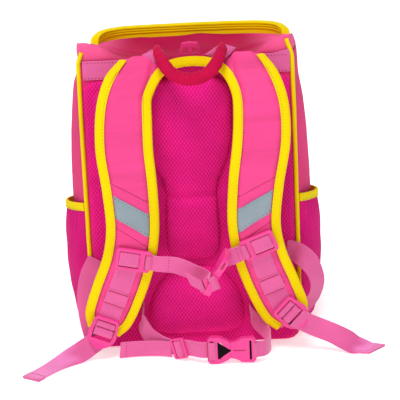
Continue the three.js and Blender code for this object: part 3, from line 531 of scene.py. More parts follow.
def ribs_of(pitch_mm, along):
    """Ribbed tape: cords that run along the tape or across it, broken by its picks."""
    def pattern(tree, u, v, here):
        main, other = (u, v) if along else (v, u)
        rib, pick = wave(tree, main, pitch_mm), wave(tree, other, pitch_mm * 0.8)
        both = add(tree, "ShaderNodeMath", {0: pick, 1: 0.35, 2: rib}, operation="MULTIPLY_ADD").outputs[0]
        return add(tree, "ShaderNodeMapRange", {0: both, 1: -1.35, 2: 1.35}).outputs[0]
    return pattern


def speckle_of(size_mm):
    """Moulded plastic: the faint orange peel that its mould leaves."""
    def pattern(tree, u, v, here):
        return add(tree, "ShaderNodeTexNoise",
                   {"Vector": here, "Scale": 1000 / size_mm, "Detail": 2.0}).outputs[0]
    return pattern


MATERIALS = {}


def make_materials(colours):
    """Each finish is named for what it is and how it was made, or for the painted shade that it stands for.
    """
    # Coated pack nylon: a tight plain weave with a satin coat, so broad soft highlights and a fine grain.
    # Its 0.5 mm threads can't show, so they are drawn 2.4 mm apart. Faint creases across the straps are
    # painted shade: clouds drawn out into dark streaks.
    MATERIALS["nylon"] = patterned(
        "coated_nylon_plain_woven", shades(colours.nylon, 0.9, 1.04), weave_of(2.4), 0.12, 0.62, cloudy=0.18,
        cloud_mm=30, drawn=(0.35, 1, 2.2), Sheen_Weight=0.02, Specular_IOR_Level=0.18)
    # The lid's cloth is darkened as painted shade of its hollow, and its standing corners take a painted
    # highlight.
    # Its threads are drawn as coarse.
    MATERIALS["lid"] = patterned(
        "coated_nylon_lid_painted_shade_and_highlight", shades(colours.lid, 0.88, 1.04), weave_of(2.4), 0.12, 0.68,
        cloudy=0.2, cloud_mm=70, painted_highlight=colours.lid_corner_highlight, Specular_IOR_Level=0.1)
    # The sides' nylon is the same cloth in a deeper pink, drawn as coarse, with hardly any shine.
    MATERIALS["side_nylon"] = patterned(
        "coated_nylon_side_plain_woven", shades(colours.side, 0.9, 1.04), weave_of(2.6), 0.12, 0.7,
        cloudy=0.15, Sheen_Weight=0.0, Specular_IOR_Level=0.1)
    # Warp-knitted spacer mesh: rows of raised loops with a painted highlight, and painted shade between them.
    MATERIALS["mesh"] = patterned(
        "polyester_spacer_mesh_knitted", shades(colours.mesh, 0.83, 1.05, 0.018), bumps_of(4.2, 6.0), 0.35,
        0.75, cloudy=0.2, cloud_mm=45, Sheen_Weight=0.0, Specular_IOR_Level=0.06)
    # The pockets' mesh is thinner, with deeper holes whose shade is painted darker.
    MATERIALS["pocket_mesh"] = patterned(
        "polyester_pocket_mesh_knitted", shades(colours.pocket, 0.7, 1.0, 0.004), bumps_of(4.0, 5.6), 0.4,
        0.75, cloudy=0.18, cloud_mm=40, Sheen_Weight=0.0, Specular_IOR_Level=0.08)
    # Grosgrain binding: bright polyester with cords across the tape, drawn 2.2 mm apart to show.
    MATERIALS["yellow"] = patterned(
        "polyester_grosgrain_woven", shades(colours.yellow, 0.95), ribs_of(2.2, False), 0.05, 0.66,
        cloudy=0.08, Sheen_Weight=0.0, Specular_IOR_Level=0.06)
    # Narrow webbing: flat polyester ribs along the strap. Where it lies flat facing up, a paler colour paints
    # its highlight.
    MATERIALS["webbing"] = patterned(
        "polyester_webbing_woven", shades(colours.webbing, 0.84, 1.06), ribs_of(2.1, True), 0.16, 0.62,
        cloudy=0.12, cloud_mm=35, painted_highlight=colours.webbing_flat_highlight, Sheen_Weight=0.5, Sheen_Roughness=0.4,
        Specular_IOR_Level=0.2)
    # Seam tape: the same yarn in a thinner tape, with its ribs across and less shine.
    MATERIALS["top_webbing"] = patterned(
        "polyester_seam_tape_woven", shades(colours.seam_tape, 0.84, 1.05), ribs_of(2.1, False), 0.08, 0.64,
        cloudy=0.15, cloud_mm=35, Sheen_Weight=0.06, Specular_IOR_Level=0.2)
    # Crimson handle cloth: the same nylon, turned and sewn into a tube, so it is matt and slightly fuzzy.
    # Its threads are drawn 2.2 mm apart to show.
    MATERIALS["handle"] = patterned(
        "nylon_handle_cloth_woven", shades(colours.handle, 0.82, 1.05), weave_of(2.2), 0.15, 0.68, cloudy=0.2,
        cloud_mm=25, Specular_IOR_Level=0.08)
    # Reflective tape: glass beads in a grey resin, with a smooth metallic glint. The beads can't show, so a
    # grid is drawn 2 mm apart.
    MATERIALS["reflective"] = patterned(
        "glass_bead_reflective_tape_coated", shades(colours.reflector, 0.86), weave_of(2.0), 0.05, 0.42,
        cloudy=0.12, cloud_mm=30, Metallic=0.25)
    # Acetal hardware: injection moulded, satin, with rounded edges that catch the light.
    MATERIALS["plastic"] = patterned(
        "acetal_injection_moulded", shades(colours.plastic, 0.94), speckle_of(3.0), 0.05, 0.36, cloudy=0.06,
        cloud_mm=20, rough_swing=0.05, Specular_IOR_Level=0.45)
    # Painted shade in a buckle's window and socket slot: a nearly black block set in the opening.
    MATERIALS["recess"] = patterned(
        "buckle_window_painted_shade", (linear("#0a0405"), linear("#1a0a0e")), speckle_of(4.0), 0.05, 0.8,
        cloudy=0.1, rough_swing=0.05, Specular_IOR_Level=0.1)
    # Painted shade in the locks' mouths and the hip plug's slot: pink blocks, as the moulding lit only by its
    # own pink.
    MATERIALS["inside"] = patterned(
        "acetal_slot_painted_shade", shades(colours.inside, 0.8), speckle_of(4.0), 0.05, 0.6, cloudy=0.1,
        rough_swing=0.05, Specular_IOR_Level=0.2)
    # Sewing thread: twisted polyester with a soft shine. Its dark pink is also the painted shade in slots and
    # seam grooves.
    threads = {
        "thread": colours.thread,
        "yellow_thread": tint(colours.yellow, 0.72),
        "grey_thread": tint(colours.reflector, 0.55),
    }
    for key, colour in threads.items():
        MATERIALS[key] = patterned(
            f"polyester_{key}_twisted", shades(colour, 0.8), speckle_of(1.5), 0.05, 0.55, cloudy=0.1)


# Sizes and colours that a user would change.
def colour_of(name, description, hex_colour):
    return FloatVectorProperty(
        name=name, description=description, default=linear(hex_colour), size=4, min=0, max=1, subtype="COLOR"
    )


class BackpackColours(bpy.types.PropertyGroup):
    """Colours of the backpack's cloths and hardware."""

    nylon: colour_of("Strap nylon", "Coated nylon on the strap faces", "#f94a92")
    # Darkened as painted shade of the lid's hollow; the neck's yoke takes it too.
    lid: colour_of("Lid nylon", "Coated nylon of the lid", "#bf144b")
    # Painted highlight on the lid's standing corners.
    lid_corner_highlight: colour_of("Lid corners", "Paler nylon where the lid's corners stand up", "#fb5c98")
    side: colour_of("Side nylon", "Coated nylon of the sides, front and base", "#e9337c")
    mesh: colour_of("Back mesh", "Spacer mesh of the back and its pads", "#f2168a")
    pocket: colour_of("Pocket mesh", "Mesh of the side pockets", "#f20c88")
    yellow: colour_of("Yellow tape", "Binding, piping and zip tape", "#f4d804")
    webbing: colour_of("Webbing", "Straps and belts", "#ea64a3")
    # Painted highlight on webbing that faces up to the light.
    webbing_flat_highlight: colour_of("Flat webbing", "Webbing that lies flat under the light", "#f98bcf")
    seam_tape: colour_of("Seam tape", "Tape along the lid's seam and the handle's ends", "#ea68a8")
    handle: colour_of("Handle cloth", "Grip of the handle", "#cf0a48")
    reflector: colour_of("Reflective tape", "Grey tape across the straps", "#8f9fa8")
    plastic: colour_of("Plastic", "Buckles, sliders and ladder locks", "#f23c96")
    # Painted shade: the pink of the blocks in the locks' mouths and the hip plug's slot.
    inside: colour_of("Plastic inside", "Inner walls of the locks' slots", "#ec1a7e")
    # Also painted shade: the dark slot fills and seam cords take this colour.
    thread: colour_of("Thread", "Stitches on the pink webbing", "#b8164f")
    floor: colour_of("Floor", "Plain pale floor", "#fbfbfb")


def length_of(name, description, default, low, high):
    return FloatProperty(
        name=name, description=description, default=default, min=low, max=high, unit="LENGTH"
    )


class BackpackSizes(bpy.types.PropertyGroup):
    """Sizes of the sewing and padding."""

    voxel: length_of("Pad grain", "Mesh size of a pad before it swells", 0.005, 0.003, 0.01)
    swell: length_of("Pad swell", "Most that a pad's face may move out", 0.0045, 0.0, 0.02)
    pressure: FloatProperty(name="Pad pressure", description="How hard the stuffing presses", default=4.0,
                            min=0.0, max=20.0)
    frames: IntProperty(name="Swelling steps", description="Steps that the pads swell for", default=20,
                        min=2, max=60)
    edge: length_of("Moulded edge", "Rounding on the hardware's edges", 0.0008, 0.0001, 0.003)
    stitch: length_of("Stitch pitch", "From one stitch to the next", 0.0042, 0.001, 0.02)


class BACKPACK_OT_finishes(bpy.types.Operator):
    """Makes every cloth, tape, thread and plastic of the backpack"""
    bl_idname = "backpack.finishes"
    bl_label = "Finishes"

    def execute(self, context):
        make_materials(context.scene.backpack_colours)
        return {"FINISHED"}


def shell_ring(row, inset, creased):
    """The bag's outline at one height. The outside's loose cloth has soft folds."""
    z = row[0]
    lean = step(z, LEAN_FROM, MOUTH[0])
    flat = mouth_lean(outline(row, inset), row, inset, OUTLINE_FINE, lean)
    way = np.roll(flat, -1, axis=0) - np.roll(flat, 1, axis=0)
    out = unit(np.stack([way[:, 1], -way[:, 0]], axis=1))
    found = []
    for (x, y), o in zip(flat, out):
        push = 0.0
        if creased:
            loose = step(y, 6, 40) * step(z, 4, 40) * (1 - step(z, 315, 350))
            folds = 0.5 + 0.5 * ripple((x, y, z * 0.6), 48) + 0.25 * ripple((x, y, z), 17, 5.0)
            push = -FOLD_DEPTH * loose * max(folds, 0)
        found.append((x + o[0] * push, y + o[1] * push - base_roll(y, z), z))
    return found


class BACKPACK_OT_shell(bpy.types.Operator):
    """Sews the bag's cup of side nylon, open at the mouth"""
    bl_idname = "backpack.shell"
    bl_label = "Bag"

    def execute(self, context):
        rows = curve(SHELL, np.linspace(0, 1, 9 * (len(SHELL) - 1) + 1))
        outside = [shell_ring(row, 0, True) for row in rows]
        # The cloth is padded between the floor and the mouth.
        padding = WALL_PADDING * step(rows[:, 0], 20, 60) * (1 - step(rows[:, 0], 300, 345))
        walls = [(row, WALL + more) for row, more in zip(rows, padding) if row[0] > INSIDE_FROM]
        inside = [shell_ring(row, inset, False) for row, inset in walls[::-1]]
        floor = [(x, y - base_roll(y, FLOOR_RISE), FLOOR_RISE) for x, y in outline(SHELL[1], FLOOR_INSET)]
        obj = loft("bag_shell_cloth", [*outside, *inside, floor])
        settle(obj, "side_nylon", ["bag_shell"])
        return {"FINISHED"}


ZIP_WIDTH = 9.0
ZIP_FROM = 98.0  # the band runs round the mouth in front of this y
ZIP_END = 0.075  # share of the band that rounds down at each end
# The band's section, as distance out and height: its folded face, and the cords along its inner side.
ZIP_FACE = [(0.4, 0), (8.4, 0), (8.9, 5.5), (9, 7), (8.6, 8.4), (7.7, 9.2), (8.7, 10), (9.2, 11.6),
            (8.7, 13.2), (7.7, 14), (8.6, 15), (8.9, 16.2), (8.2, 17.8), (6.6, 19.2), (4.5, 19.8),
            (2.2, 19.2)]
ZIP_CORDS = [(0.2, 18.6), (-1.1, 17.6), (-1.1, 16.4), (0.5, 15.4), (-1.0, 14.6), (-1.0, 13.4), (0.6, 12.4),
             (-0.9, 11.6), (-0.9, 10.4), (0.6, 9.4), (0.2, 8.0), (0.4, 4.0)]
LID_EDGE = 356.0
LID_MIDDLE = 341.0
LID_CLOTH = 2.4
LID_HALF = 116.0  # from the lid's middle to its back corners
LID_EAR = 21.0  # height of the standing corners
LID_FLANK = 2.0  # height of the sides in front of them
LID_FRONT = 4.0  # rise of the edge to the front
LID_HEM = 3.5  # the cloth turns down this much at its edge
FAN_FOLDS = 7.0  # folds in a turn round a standing corner
FAN_DEPTH = 4.5
FAN_REACH = 42.0


def lid_height(x, y, share):
    """Height of the lid's cloth, at a share of the way from its middle to its edge."""
    inward = LID_HALF - abs(x - MOUTH_SHIFT / 2)
    side, ahead = step(-inward, -46, 0), step(y, 20, 78)
    rim = LID_EDGE + LID_FRONT * step(y, 60, 110) - LID_HEM * step(share, 0.88, 1) ** 2
    rim += side * (LID_EAR * (1 - ahead) + LID_FLANK * ahead * (1 - step(y, 105, 150)))
    z = LID_MIDDLE + (rim - LID_MIDDLE) * share ** 1.6
    loose = step(1 - share, 0.0, 0.12) * step(share, 0.02, 0.3)
    # Folds fan out from the standing corners, and softer ones cross the middle.
    reach = math.hypot(inward, y)
    fan = math.cos(math.atan2(y, max(inward, 1)) * FAN_FOLDS)
    fan *= math.exp(-reach / FAN_REACH) * step(reach, 6, 20)
    z += loose * (5.5 * ripple((x, y * 1.5, 0), 44, 2.0) + 1.2 * ripple((x, y, 0), 20, 7.0))
    return z - FAN_DEPTH * fan * step(1 - share, 0, 0.06)


class BACKPACK_OT_lid(bpy.types.Operator):
    """Sews the lid, which sags in the middle and stands up at its back corners"""
    bl_idname = "backpack.lid"
    bl_label = "Lid"

    def execute(self, context):
        outer = mouth_line(1.5)
        edge = mouth_line(ZIP_WIDTH + GAP)
        free = 1 - step(outer[:, 1], ZIP_FROM - 6, ZIP_FROM + 8)
        edge = edge + (outer - edge) * free[:, None]
        middle = np.array((MOUTH_SHIFT / 2, MOUTH[5] / 2))

        def ring(share, lift):
            flat = middle + (edge - middle) * share
            return [(x, y, lid_height(x, y, share) + lift) for x, y in flat]

        shares = np.concatenate([np.linspace(0.03, 0.8, 24), np.linspace(0.83, 1, 12)])
        over = [ring(s, 0) for s in shares]
        under = [ring(s, -LID_CLOTH) for s in shares[:-3]]
        out = unit(edge - middle)
        foot = MOUTH[0] + GAP
        wall = []
        for part, swell in ((0.0, 0.0), (0.3, 1.0), (0.65, 1.3), (0.9, 0.6)):
            wall.append([(x + o[0] * swell * f, y + o[1] * swell * f, foot + (top[2] - foot) * part)
                         for (x, y), o, top, f in zip(edge, out, over[-1], free)])
        obj = loft("lid_cloth", [*under, *wall, *over[::-1]])
        lay_flat_map(obj, up=(0, 1, 0))
        # Painted highlight: the standing corners are marked to take the paler colour.
        lean = MOUTH_SHIFT / 2000
        mark_painted_highlight(obj, lambda v: step(abs(v.co.x - lean), 0.062, 0.108) * step(v.co.z, 0.344, 0.362))
        settle(obj, "lid", ["lid"])
        return {"FINISHED"}


class BACKPACK_OT_zip(bpy.types.Operator):
    """Rolls the corded zip band round the front of the mouth"""
    bl_idname = "backpack.zip"
    bl_label = "Zip band"

    def execute(self, context):
        ring = mouth_line(ZIP_WIDTH, fine=14)
        line = ring[ring[:, 1] > ZIP_FROM]
        way = np.gradient(line, axis=0)
        out = unit(np.stack([way[:, 1], -way[:, 0]], axis=1))
        foot = MOUTH[0] + GAP
        rings = []
        for i, (p, o) in enumerate(zip(line, out)):
            share = i / (len(line) - 1)
            end = 1 - min(share, 1 - share, ZIP_END) / ZIP_END
            drop = 0.2 + 0.8 * math.sqrt(1 - end * end)
            wobble = 0.35 * ripple((p[0], p[1], 0), 14)
            rings.append([(p[0] + o[0] * a, p[1] + o[1] * a, foot + (z + wobble * step(z, 0, 6)) * drop)
                          for a, z in [*ZIP_FACE, *ZIP_CORDS]])
        settle(loft("zip_band_tape", rings), "yellow", ["zip_band"])
        return {"FINISHED"}


# Back panel and pads. A profile is the share of the pad's outline that each share of its height keeps.
PAD_BASE = 4.8
PAD_FOOT = (-PAD_BASE - BASE_MIDDLE_Y) / 1000
FLAT_PAD = [(1, 0), (1, 0.04), (0.98, 0.12), (0.94, 0.25), (0.89, 0.4), (0.82, 0.58), (0.72, 0.76),
            (0.6, 0.89), (0.44, 0.97), (0.26, 1), (0.08, 1)]
DOME_PAD = [(1, 0), (1, 0.08), (0.985, 0.2), (0.955, 0.36), (0.91, 0.53), (0.85, 0.69), (0.76, 0.83),
            (0.63, 0.92), (0.46, 0.97), (0.26, 1), (0.08, 1)]
SPINE_PAD = [(1, 0), (1, 0.1), (0.995, 0.3), (0.985, 0.5), (0.965, 0.7), (0.93, 0.84), (0.87, 0.93),
             (0.78, 0.98), (0.6, 1), (0.3, 1), (0.08, 1)]
BOARD_PROFILE = [(1, 0), (1, 0.35), (0.995, 0.7), (0.985, 0.92), (0.96, 1), (0.7, 1), (0.4, 1), (0.05, 1)]
PROFILES = {"spine_pad": SPINE_PAD, "lumbar_pad": DOME_PAD}
SPINE_THICKER = 0.4  # share by which the spine's pad grows thicker towards its top
SPINE_CREASE = 189.0  # height of the soft crease across the spine's pad
CREASE_DEPTH = 3.0
CREASE_HALF = 5.0  # half its width
# Each pad's rise, its outline as x and z, and whether that is half of a pad in the middle.
PADS = {
    "spine_pad": (11, [(0, 334), (46, 328), (52, 284), (47, 240), (31, 196), (34, 140), (26, 112), (0, 108)],
                  True),
    "lumbar_pad": (20, [(0, 14), (44, 15), (60, 30), (55, 66), (34, 94), (0, 103)], True),
    "side_pad": (12, [(92, 22), (104, 40), (105, 120), (104, 194), (80, 212), (50, 196), (40, 160), (48, 120),
                      (66, 80), (72, 34)], False),
    "upper_pad": (9, [(60, 316), (64, 270), (72, 236), (108, 222), (114, 256), (114, 300), (104, 324),
                      (72, 325)], False),
}
PAD_SHARE = 0.9  # a pad starts this much lower and swells to its height
PAD_SIDES = 84
SEWN_DEPTH = 0.0028  # metres of a pad's foot that its seam holds
BOARD = {"half": 121.0, "low": 3.5, "high": 331.0, "corner": 14.0, "rise": 4.0}
TOP_TAPE = (("left", -120, -62), ("middle", -62, 72), ("right", 72, 122))
TOP_TAPE_HIGH = 355.0
TOP_TAPE_FACE = 1.9  # its face stands this far off the back wall
# Its rows of stitches: where they run outside the shoulder straps, and their heights.
TOP_STITCH_RUNS = ((-118, -80), (92, 120))
TOP_STITCH_ROWS = {"low": 334.6, "high": 352.6}
TOP_STITCH_PITCH = 4.2


def evenly(points, count):
    """count places at equal steps round a closed line."""
    loop = np.concatenate([points, points[:1]])
    done = np.concatenate([[0], np.cumsum(np.linalg.norm(np.diff(loop, axis=0), axis=1))])
    at = np.linspace(0, done[-1], count + 1)[:-1]
    return np.stack([np.interp(at, done, loop[:, k]) for k in range(loop.shape[1])], axis=1)


def cushion(name, edge, base, rise, profile):
    """A crowned pad on the back wall from its x and z edge."""
    middle = edge.mean(0)
    rings = []
    for share, up in profile:
        flat = middle + (edge - middle) * share
        rings.append([(x, -base - rise * up, z) for x, z in flat])
    return loft(name, rings)


def pad_edges(side):
    """Each pad's name, rise and edge on one side of the back; the middle pads count as the right side's."""
    for name, (rise, points, mirrored) in PADS.items():
        points = np.array(points, float)
        if mirrored:
            if side > 0:
                other = points[1:-1][::-1] * (-1, 1)
                yield name, rise, np.concatenate([points, other])
        else:
            word = "right" if side > 0 else "left"
            yield f"{name}_{word}", rise, points * (side, 1)


def puff(pads, sizes):
    """Pads swell as sewn cloth over stuffing: their seam stays, and their face rises between."""
    started = {}
    for obj in pads:
        apply_modifier(obj, "REMESH", mode="VOXEL", voxel_size=sizes.voxel)
        places = np.array([v.co for v in obj.data.vertices])
        started[obj.name] = places
        sewn = obj.vertex_groups.new(name="sewn")
        sewn.add([i for i, p in enumerate(places) if p[1] > PAD_FOOT - SEWN_DEPTH], 1.0, "REPLACE")
        cloth = obj.modifiers.new("cloth", "CLOTH")
        made = cloth.settings
        made.quality = 5
        made.mass = 0.3
        made.tension_stiffness = made.compression_stiffness = 12
        made.shear_stiffness = 6
        made.bending_stiffness = 0.4
        made.use_pressure = True
        made.uniform_pressure_force = sizes.pressure
        made.vertex_group_mass = sewn.name
        made.effector_weights.gravity = 0
    for step_now in range(1, sizes.frames + 1):
        bpy.context.scene.frame_set(step_now)
    for obj in pads:
        use_alone(obj)
        bpy.ops.object.modifier_apply(modifier="cloth")
    bpy.context.scene.frame_set(1)
    for obj in pads:
        rest = started[obj.name]
        moved = np.array([v.co for v in obj.data.vertices]) - rest
        far = np.linalg.norm(moved, axis=1, keepdims=True)
        moved *= np.minimum(1, sizes.swell / np.maximum(far, 1e-9))
        obj.data.vertices.foreach_set("co", (rest + moved).ravel())
        obj.vertex_groups.clear()
        apply_modifier(obj, "SMOOTH", factor=0.5, iterations=4)
        apply_modifier(obj, "SUBSURF", levels=1, render_levels=1)
        lay_flat_map(obj)


def board_edge():
    """The back board's rounded outline as x and z."""
    half, low, high, corner = (BOARD[k] for k in ("half", "low", "high", "corner"))
    turns = np.linspace(0, math.pi / 2, 9)
    edge = []
    for k, (x, z) in enumerate(((half, high), (-half, high), (-half, low), (half, low))):
        middle = (math.copysign(half - corner, x), z - corner if z == high else z + corner)
        edge += [(middle[0] + corner * math.cos(k * math.pi / 2 + a),
                  middle[1] + corner * math.sin(k * math.pi / 2 + a)) for a in turns]
    return evenly(np.array(edge), 160)


def seam_band(word, start, end):
    """One length of the tape along the lid's seam; the middle one reaches lower, over the pad's top."""
    rings = []
    for x in np.linspace(start, end, 33):
        sway = 0.35 * ripple((x, 0, 0), 17)
        top = TOP_TAPE_HIGH + 4 * step(x, 98, 122)
        low = [(x, -GAP, 332.5), (x, -1.6 - 0.2 * sway, 332.7), (x, -TOP_TAPE_FACE + 0.4 * sway, 338)]
        if word == "middle":
            low = [(x, -GAP, 318), (x, -5.2, 319), (x, -5.4, 330), (x, -4.2, 338)]
        rings.append([*low, (x, -TOP_TAPE_FACE - 0.4 * sway, 344), (x, -TOP_TAPE_FACE + 0.3 * sway, 350),
                      (x, -1.6, top - 0.2), (x, -GAP, top)])
    return loft(f"top_tape_{word}_webbing", rings)


def sew_pads(sizes):
    """The back's swollen pads, by the names of their nodes."""
    made = {}
    for side in (1, -1):
        for name, rise, points in pad_edges(side):
            loop = curve(points, np.linspace(0, 1, 400, endpoint=False), closed=True, tension=0.6)
            profile = PROFILES.get(name, FLAT_PAD)
            edge = evenly(loop, PAD_SIDES)
            made[name] = cushion(f"{name}_mesh", edge, PAD_BASE, rise * PAD_SHARE, profile)
    for v in made["spine_pad"].data.vertices:
        thicker = 1 + SPINE_THICKER * step(v.co.z * 1000, 200, 320)
        v.co.y = PAD_FOOT + (v.co.y - PAD_FOOT) * thicker
    puff(list(made.values()), sizes)
    for v in made["spine_pad"].data.vertices:
        near = math.exp(-(((v.co.z * 1000 - SPINE_CREASE) / CREASE_HALF) ** 2))
        v.co.y += CREASE_DEPTH / 1000 * near * step(-v.co.y, 0.084, 0.09)
    return made


class BACKPACK_OT_back(bpy.types.Operator):
    """Sews the mesh back: its board, its swollen pads and the tape along the lid's seam"""
    bl_idname = "backpack.back"
    bl_label = "Padded back"

    def execute(self, context):
        for name, obj in sew_pads(context.scene.backpack_sizes).items():
            settle(obj, "mesh", [name], angle=180)
        board = cushion("back_panel_mesh", board_edge(), GAP, BOARD["rise"], BOARD_PROFILE)
        for v in board.data.vertices:
            v.co.y -= base_roll(0, v.co.z * 1000) / 1000
        lay_flat_map(board)
        settle(board, "mesh", ["back_panel"])
        for word, start, end in TOP_TAPE:
            band = seam_band(word, start, end)
            if word == "middle":
                # Behind the neck the seam is covered by the back's own mesh.
                lay_flat_map(band)
                settle(band, "mesh")
            else:
                settle(band, "top_webbing", ["top_tape"])
        xs = np.concatenate([np.arange(*run, TOP_STITCH_PITCH) for run in TOP_STITCH_RUNS])
        for word, z in TOP_STITCH_ROWS.items():
            places = [(x, -TOP_TAPE_FACE - 0.05, z) for x in xs]
            stitches(f"top_tape_stitches_{word}", places, (1, 0, 0), (0, -1, 0), "thread")
        return {"FINISHED"}


PIPING_RADIUS = 2.6
PIPING_FOOT = 16.0
PIPING_TOP = {"left": 365.0, "right": 371.0}
PIPING_LEAN = 6.0  # its free end leans in this much
POCKET = {"low": 14.0, "high": 170.0, "fall": 20.0, "from": 0.03, "to": 0.97, "bulge": 10.0}
POCKET_CLOTH = 1.4
# The tape over a pocket's mouth, from its lower edge up: height and thickness.
POCKET_HEM = ((0.4, 1.6), (0.7, 2.3), (3.5, 2.6), (7.3, 2.6), (10.1, 2.3), (10.4, 1.6))


def tube(name, line, radius, sides=12):
    """A round cord along a line."""
    line = np.asarray(line, float)
    along = unit(np.gradient(line, axis=0))
    side = unit(np.cross(along, (0.3, 1, 0.1)))
    other = np.cross(along, side)
    turns = np.linspace(0, 2 * math.pi, sides, endpoint=False)
    return loft(name, [[p + radius * (math.cos(a) * s + math.sin(a) * o) for a in turns]
                       for p, s, o in zip(line, side, other)])


def pocket_place(side, u, v, lift, push):
    """A place on a side pocket: u from back to front, v from foot to mouth, with its soft gathers."""
    z = POCKET["low"] + (POCKET["high"] - POCKET["fall"] * u - POCKET["low"]) * v + lift
    up = math.sin(math.pi * (0.08 + 0.72 * v))
    bulge = POCKET["bulge"] * up * max(math.sin(math.pi * u), 0) ** 0.7
    edge = step(u, 0.02, 0.14) * (1 - step(u, 0.86, 0.98))
    gathers = 0.7 * math.sin(u * 2 * math.pi * 13) * step(v, 0.72, 1)
    bulge += edge * (gathers + 0.8 * ripple((u * 120, z, 0), 24))
    place, out = side_curve(z, POCKET["from"] + (POCKET["to"] - POCKET["from"]) * u)
    place = place + out * (GAP + max(bulge, 0) + push)
    return (side * place[0], place[1], z)


def pocket_ring(side, us, v, lift, thick):
    inner = [pocket_place(side, u, v, lift, 0) for u in us]
    return inner + [pocket_place(side, u, v, lift, thick) for u in us[::-1]]


class BACKPACK_OT_sides(bpy.types.Operator):
    """Sews the piping in the back corners and the elastic mesh pockets on the sides"""
    bl_idname = "backpack.sides"
    bl_label = "Piping and side pockets"

    def execute(self, context):
        us = np.linspace(0, 1, 49)
        inset = BACK_CORNER * (1 - math.sqrt(0.5)) - PIPING_RADIUS * math.sqrt(0.5) - GAP
        for word, side in SIDES.items():
            line = []
            for z in np.linspace(PIPING_FOOT, PIPING_TOP[word], 120):
                row = shell_row(min(z, MOUTH[0]))
                lean = PIPING_LEAN * step(z, 350, 372)
                away = row[1] - inset - lean + 0.25 * ripple((0, 0, z), 30, side)
                line.append((side * away, row[4] + inset - base_roll(0, z), z))
            cord = tube(f"piping_{word}_cord", line, PIPING_RADIUS)
            settle(cord, "yellow", [f"piping_{word}"])
            wall = [pocket_ring(side, us, v, 0, POCKET_CLOTH) for v in np.linspace(0, 1, 41)]
            obj = loft(f"side_pocket_{word}_mesh", wall)
            settle(obj, "pocket_mesh", [f"side_pocket_{word}"])
            hem = [pocket_ring(side, us, 1, lift, thick) for lift, thick in POCKET_HEM]
            tape = loft(f"pocket_binding_{word}_tape", hem)
            settle(tape, "yellow", [f"pocket_binding_{word}"])
            places = [pocket_place(side, u, 1, 2.2, 2.6) for u in us[2:-2]]
            ways = np.gradient(np.array(places), axis=0)
            stitches(f"pocket_stitches_{word}", places, ways, (side, -0.2, 0), "yellow_thread")
        return {"FINISHED"}


# Shoulder straps.
# Half of a folded tape's section: distance in from the edge, and height over the strap's middle.
BIND_OUTSIDE = [(-11, 4.4), (-7, 4.3), (-3.6, 4.0), (-1.5, 3.3), (-0.35, 1.9)]
BIND_INSIDE = [(-1.4, 2.1), (-6, 2.8), (-11, 3.1)]
BIND_SECTION = [*BIND_OUTSIDE, (0, 0), *[(a, -b) for a, b in [*BIND_OUTSIDE[::-1], *BIND_INSIDE[::-1]]],
                *BIND_INSIDE]
BIND_SEAM = (-9.4, 4.45)  # where its stitches run on that section
BIND_PUCKER = 0.28  # height of the puckers that its stitches pull
BIND_PITCH = 6.3  # from one of them to the next
BIND_WAVES = 0.35  # height of its uneven waves
NECK = {"rise": 346.5, "dip": 3.0, "ahead": 14.0, "sweep": 4.0, "half": 26.0}


def strap_edge(side, t, way):
    """A strap's edge: its place, the direction away from the strap, and the way its face looks."""
    origin, _, across, out, half = strap_frame(side, t)
    return origin + across * way * half, across * way, out


def smoothed(frames, rounds=90):
    """Takes the corners out of a binding's line near the shoulders, where the strap turns over."""
    places, acrosses, outs = (np.array(column) for column in zip(*frames))
    soft = (step(places[:, 2], 255, 292) * 0.5)[1:-1, None]
    for _ in range(rounds):
        for column in (places, acrosses, outs):
            middle = (column[:-2] + column[2:]) / 2
            column[1:-1] += (middle - column[1:-1]) * soft
    along = unit(np.gradient(places, axis=0))
    acrosses = unit(acrosses - (acrosses * along).sum(1, keepdims=True) * along)
    outs = unit(outs - (outs * along).sum(1, keepdims=True) * along)
    outs = unit(outs - (outs * acrosses).sum(1, keepdims=True) * acrosses)
    return list(zip(places, acrosses, outs))


def binding(name, frames):
    """Tape folded over an edge, a little puckered by its stitches."""
    rings = []
    done = 0.0
    last = frames[0][0]
    for place, across, out in frames:
        done += np.linalg.norm(place - last)
        last = place
        pucker = BIND_PUCKER * math.sin(done / BIND_PITCH * 2 * math.pi)
        pucker += BIND_WAVES * ripple((done, 0, 0), 9)
        ring = []
        for a, b in BIND_SECTION:
            # Only the outer faces pucker, most towards the seam.
            lift = math.copysign(pucker, b) * step(-a, 2, 9) * (abs(b) > 3.5)
            ring.append(place + across * a + out * (b + lift))
        rings.append(ring)
    return loft(name, rings)


def neck_frames():
    """The neck tape's line: up the left strap's inner edge, across between the straps and down the right."""
    over = np.linspace(0.075, STRAP_BEND, 22)
    ts = np.concatenate([over, np.linspace(STRAP_BEND, 1, 150)[1:]])[::-1]
    left = [strap_edge(-1, t, 1) for t in ts]
    right = [strap_edge(1, t, -1) for t in ts[::-1]]
    start, end = left[-1][0], right[0][0]
    middle = (start[0] + end[0]) / 2
    half, ahead, sweep, rise, dip = (NECK[k] for k in ("half", "ahead", "sweep", "rise", "dip"))
    arch = [start, (middle - half, -ahead - sweep, rise - dip), (middle - half / 2, -ahead, rise),
            (middle + half / 2, -ahead, rise), (middle + half, -ahead - sweep, rise - dip), end]
    bridge = []
    for t in np.linspace(0.06, 0.94, 46):
        before, after = curve(arch, [t - 1e-3, t + 1e-3], even=False)
        along = unit(after - before)
        across = unit(np.cross(along, (0, -0.95, 0.3)))
        bridge.append((curve(arch, [t], even=False)[0], across, np.cross(across, along)))
    return [*left, *bridge, *right]


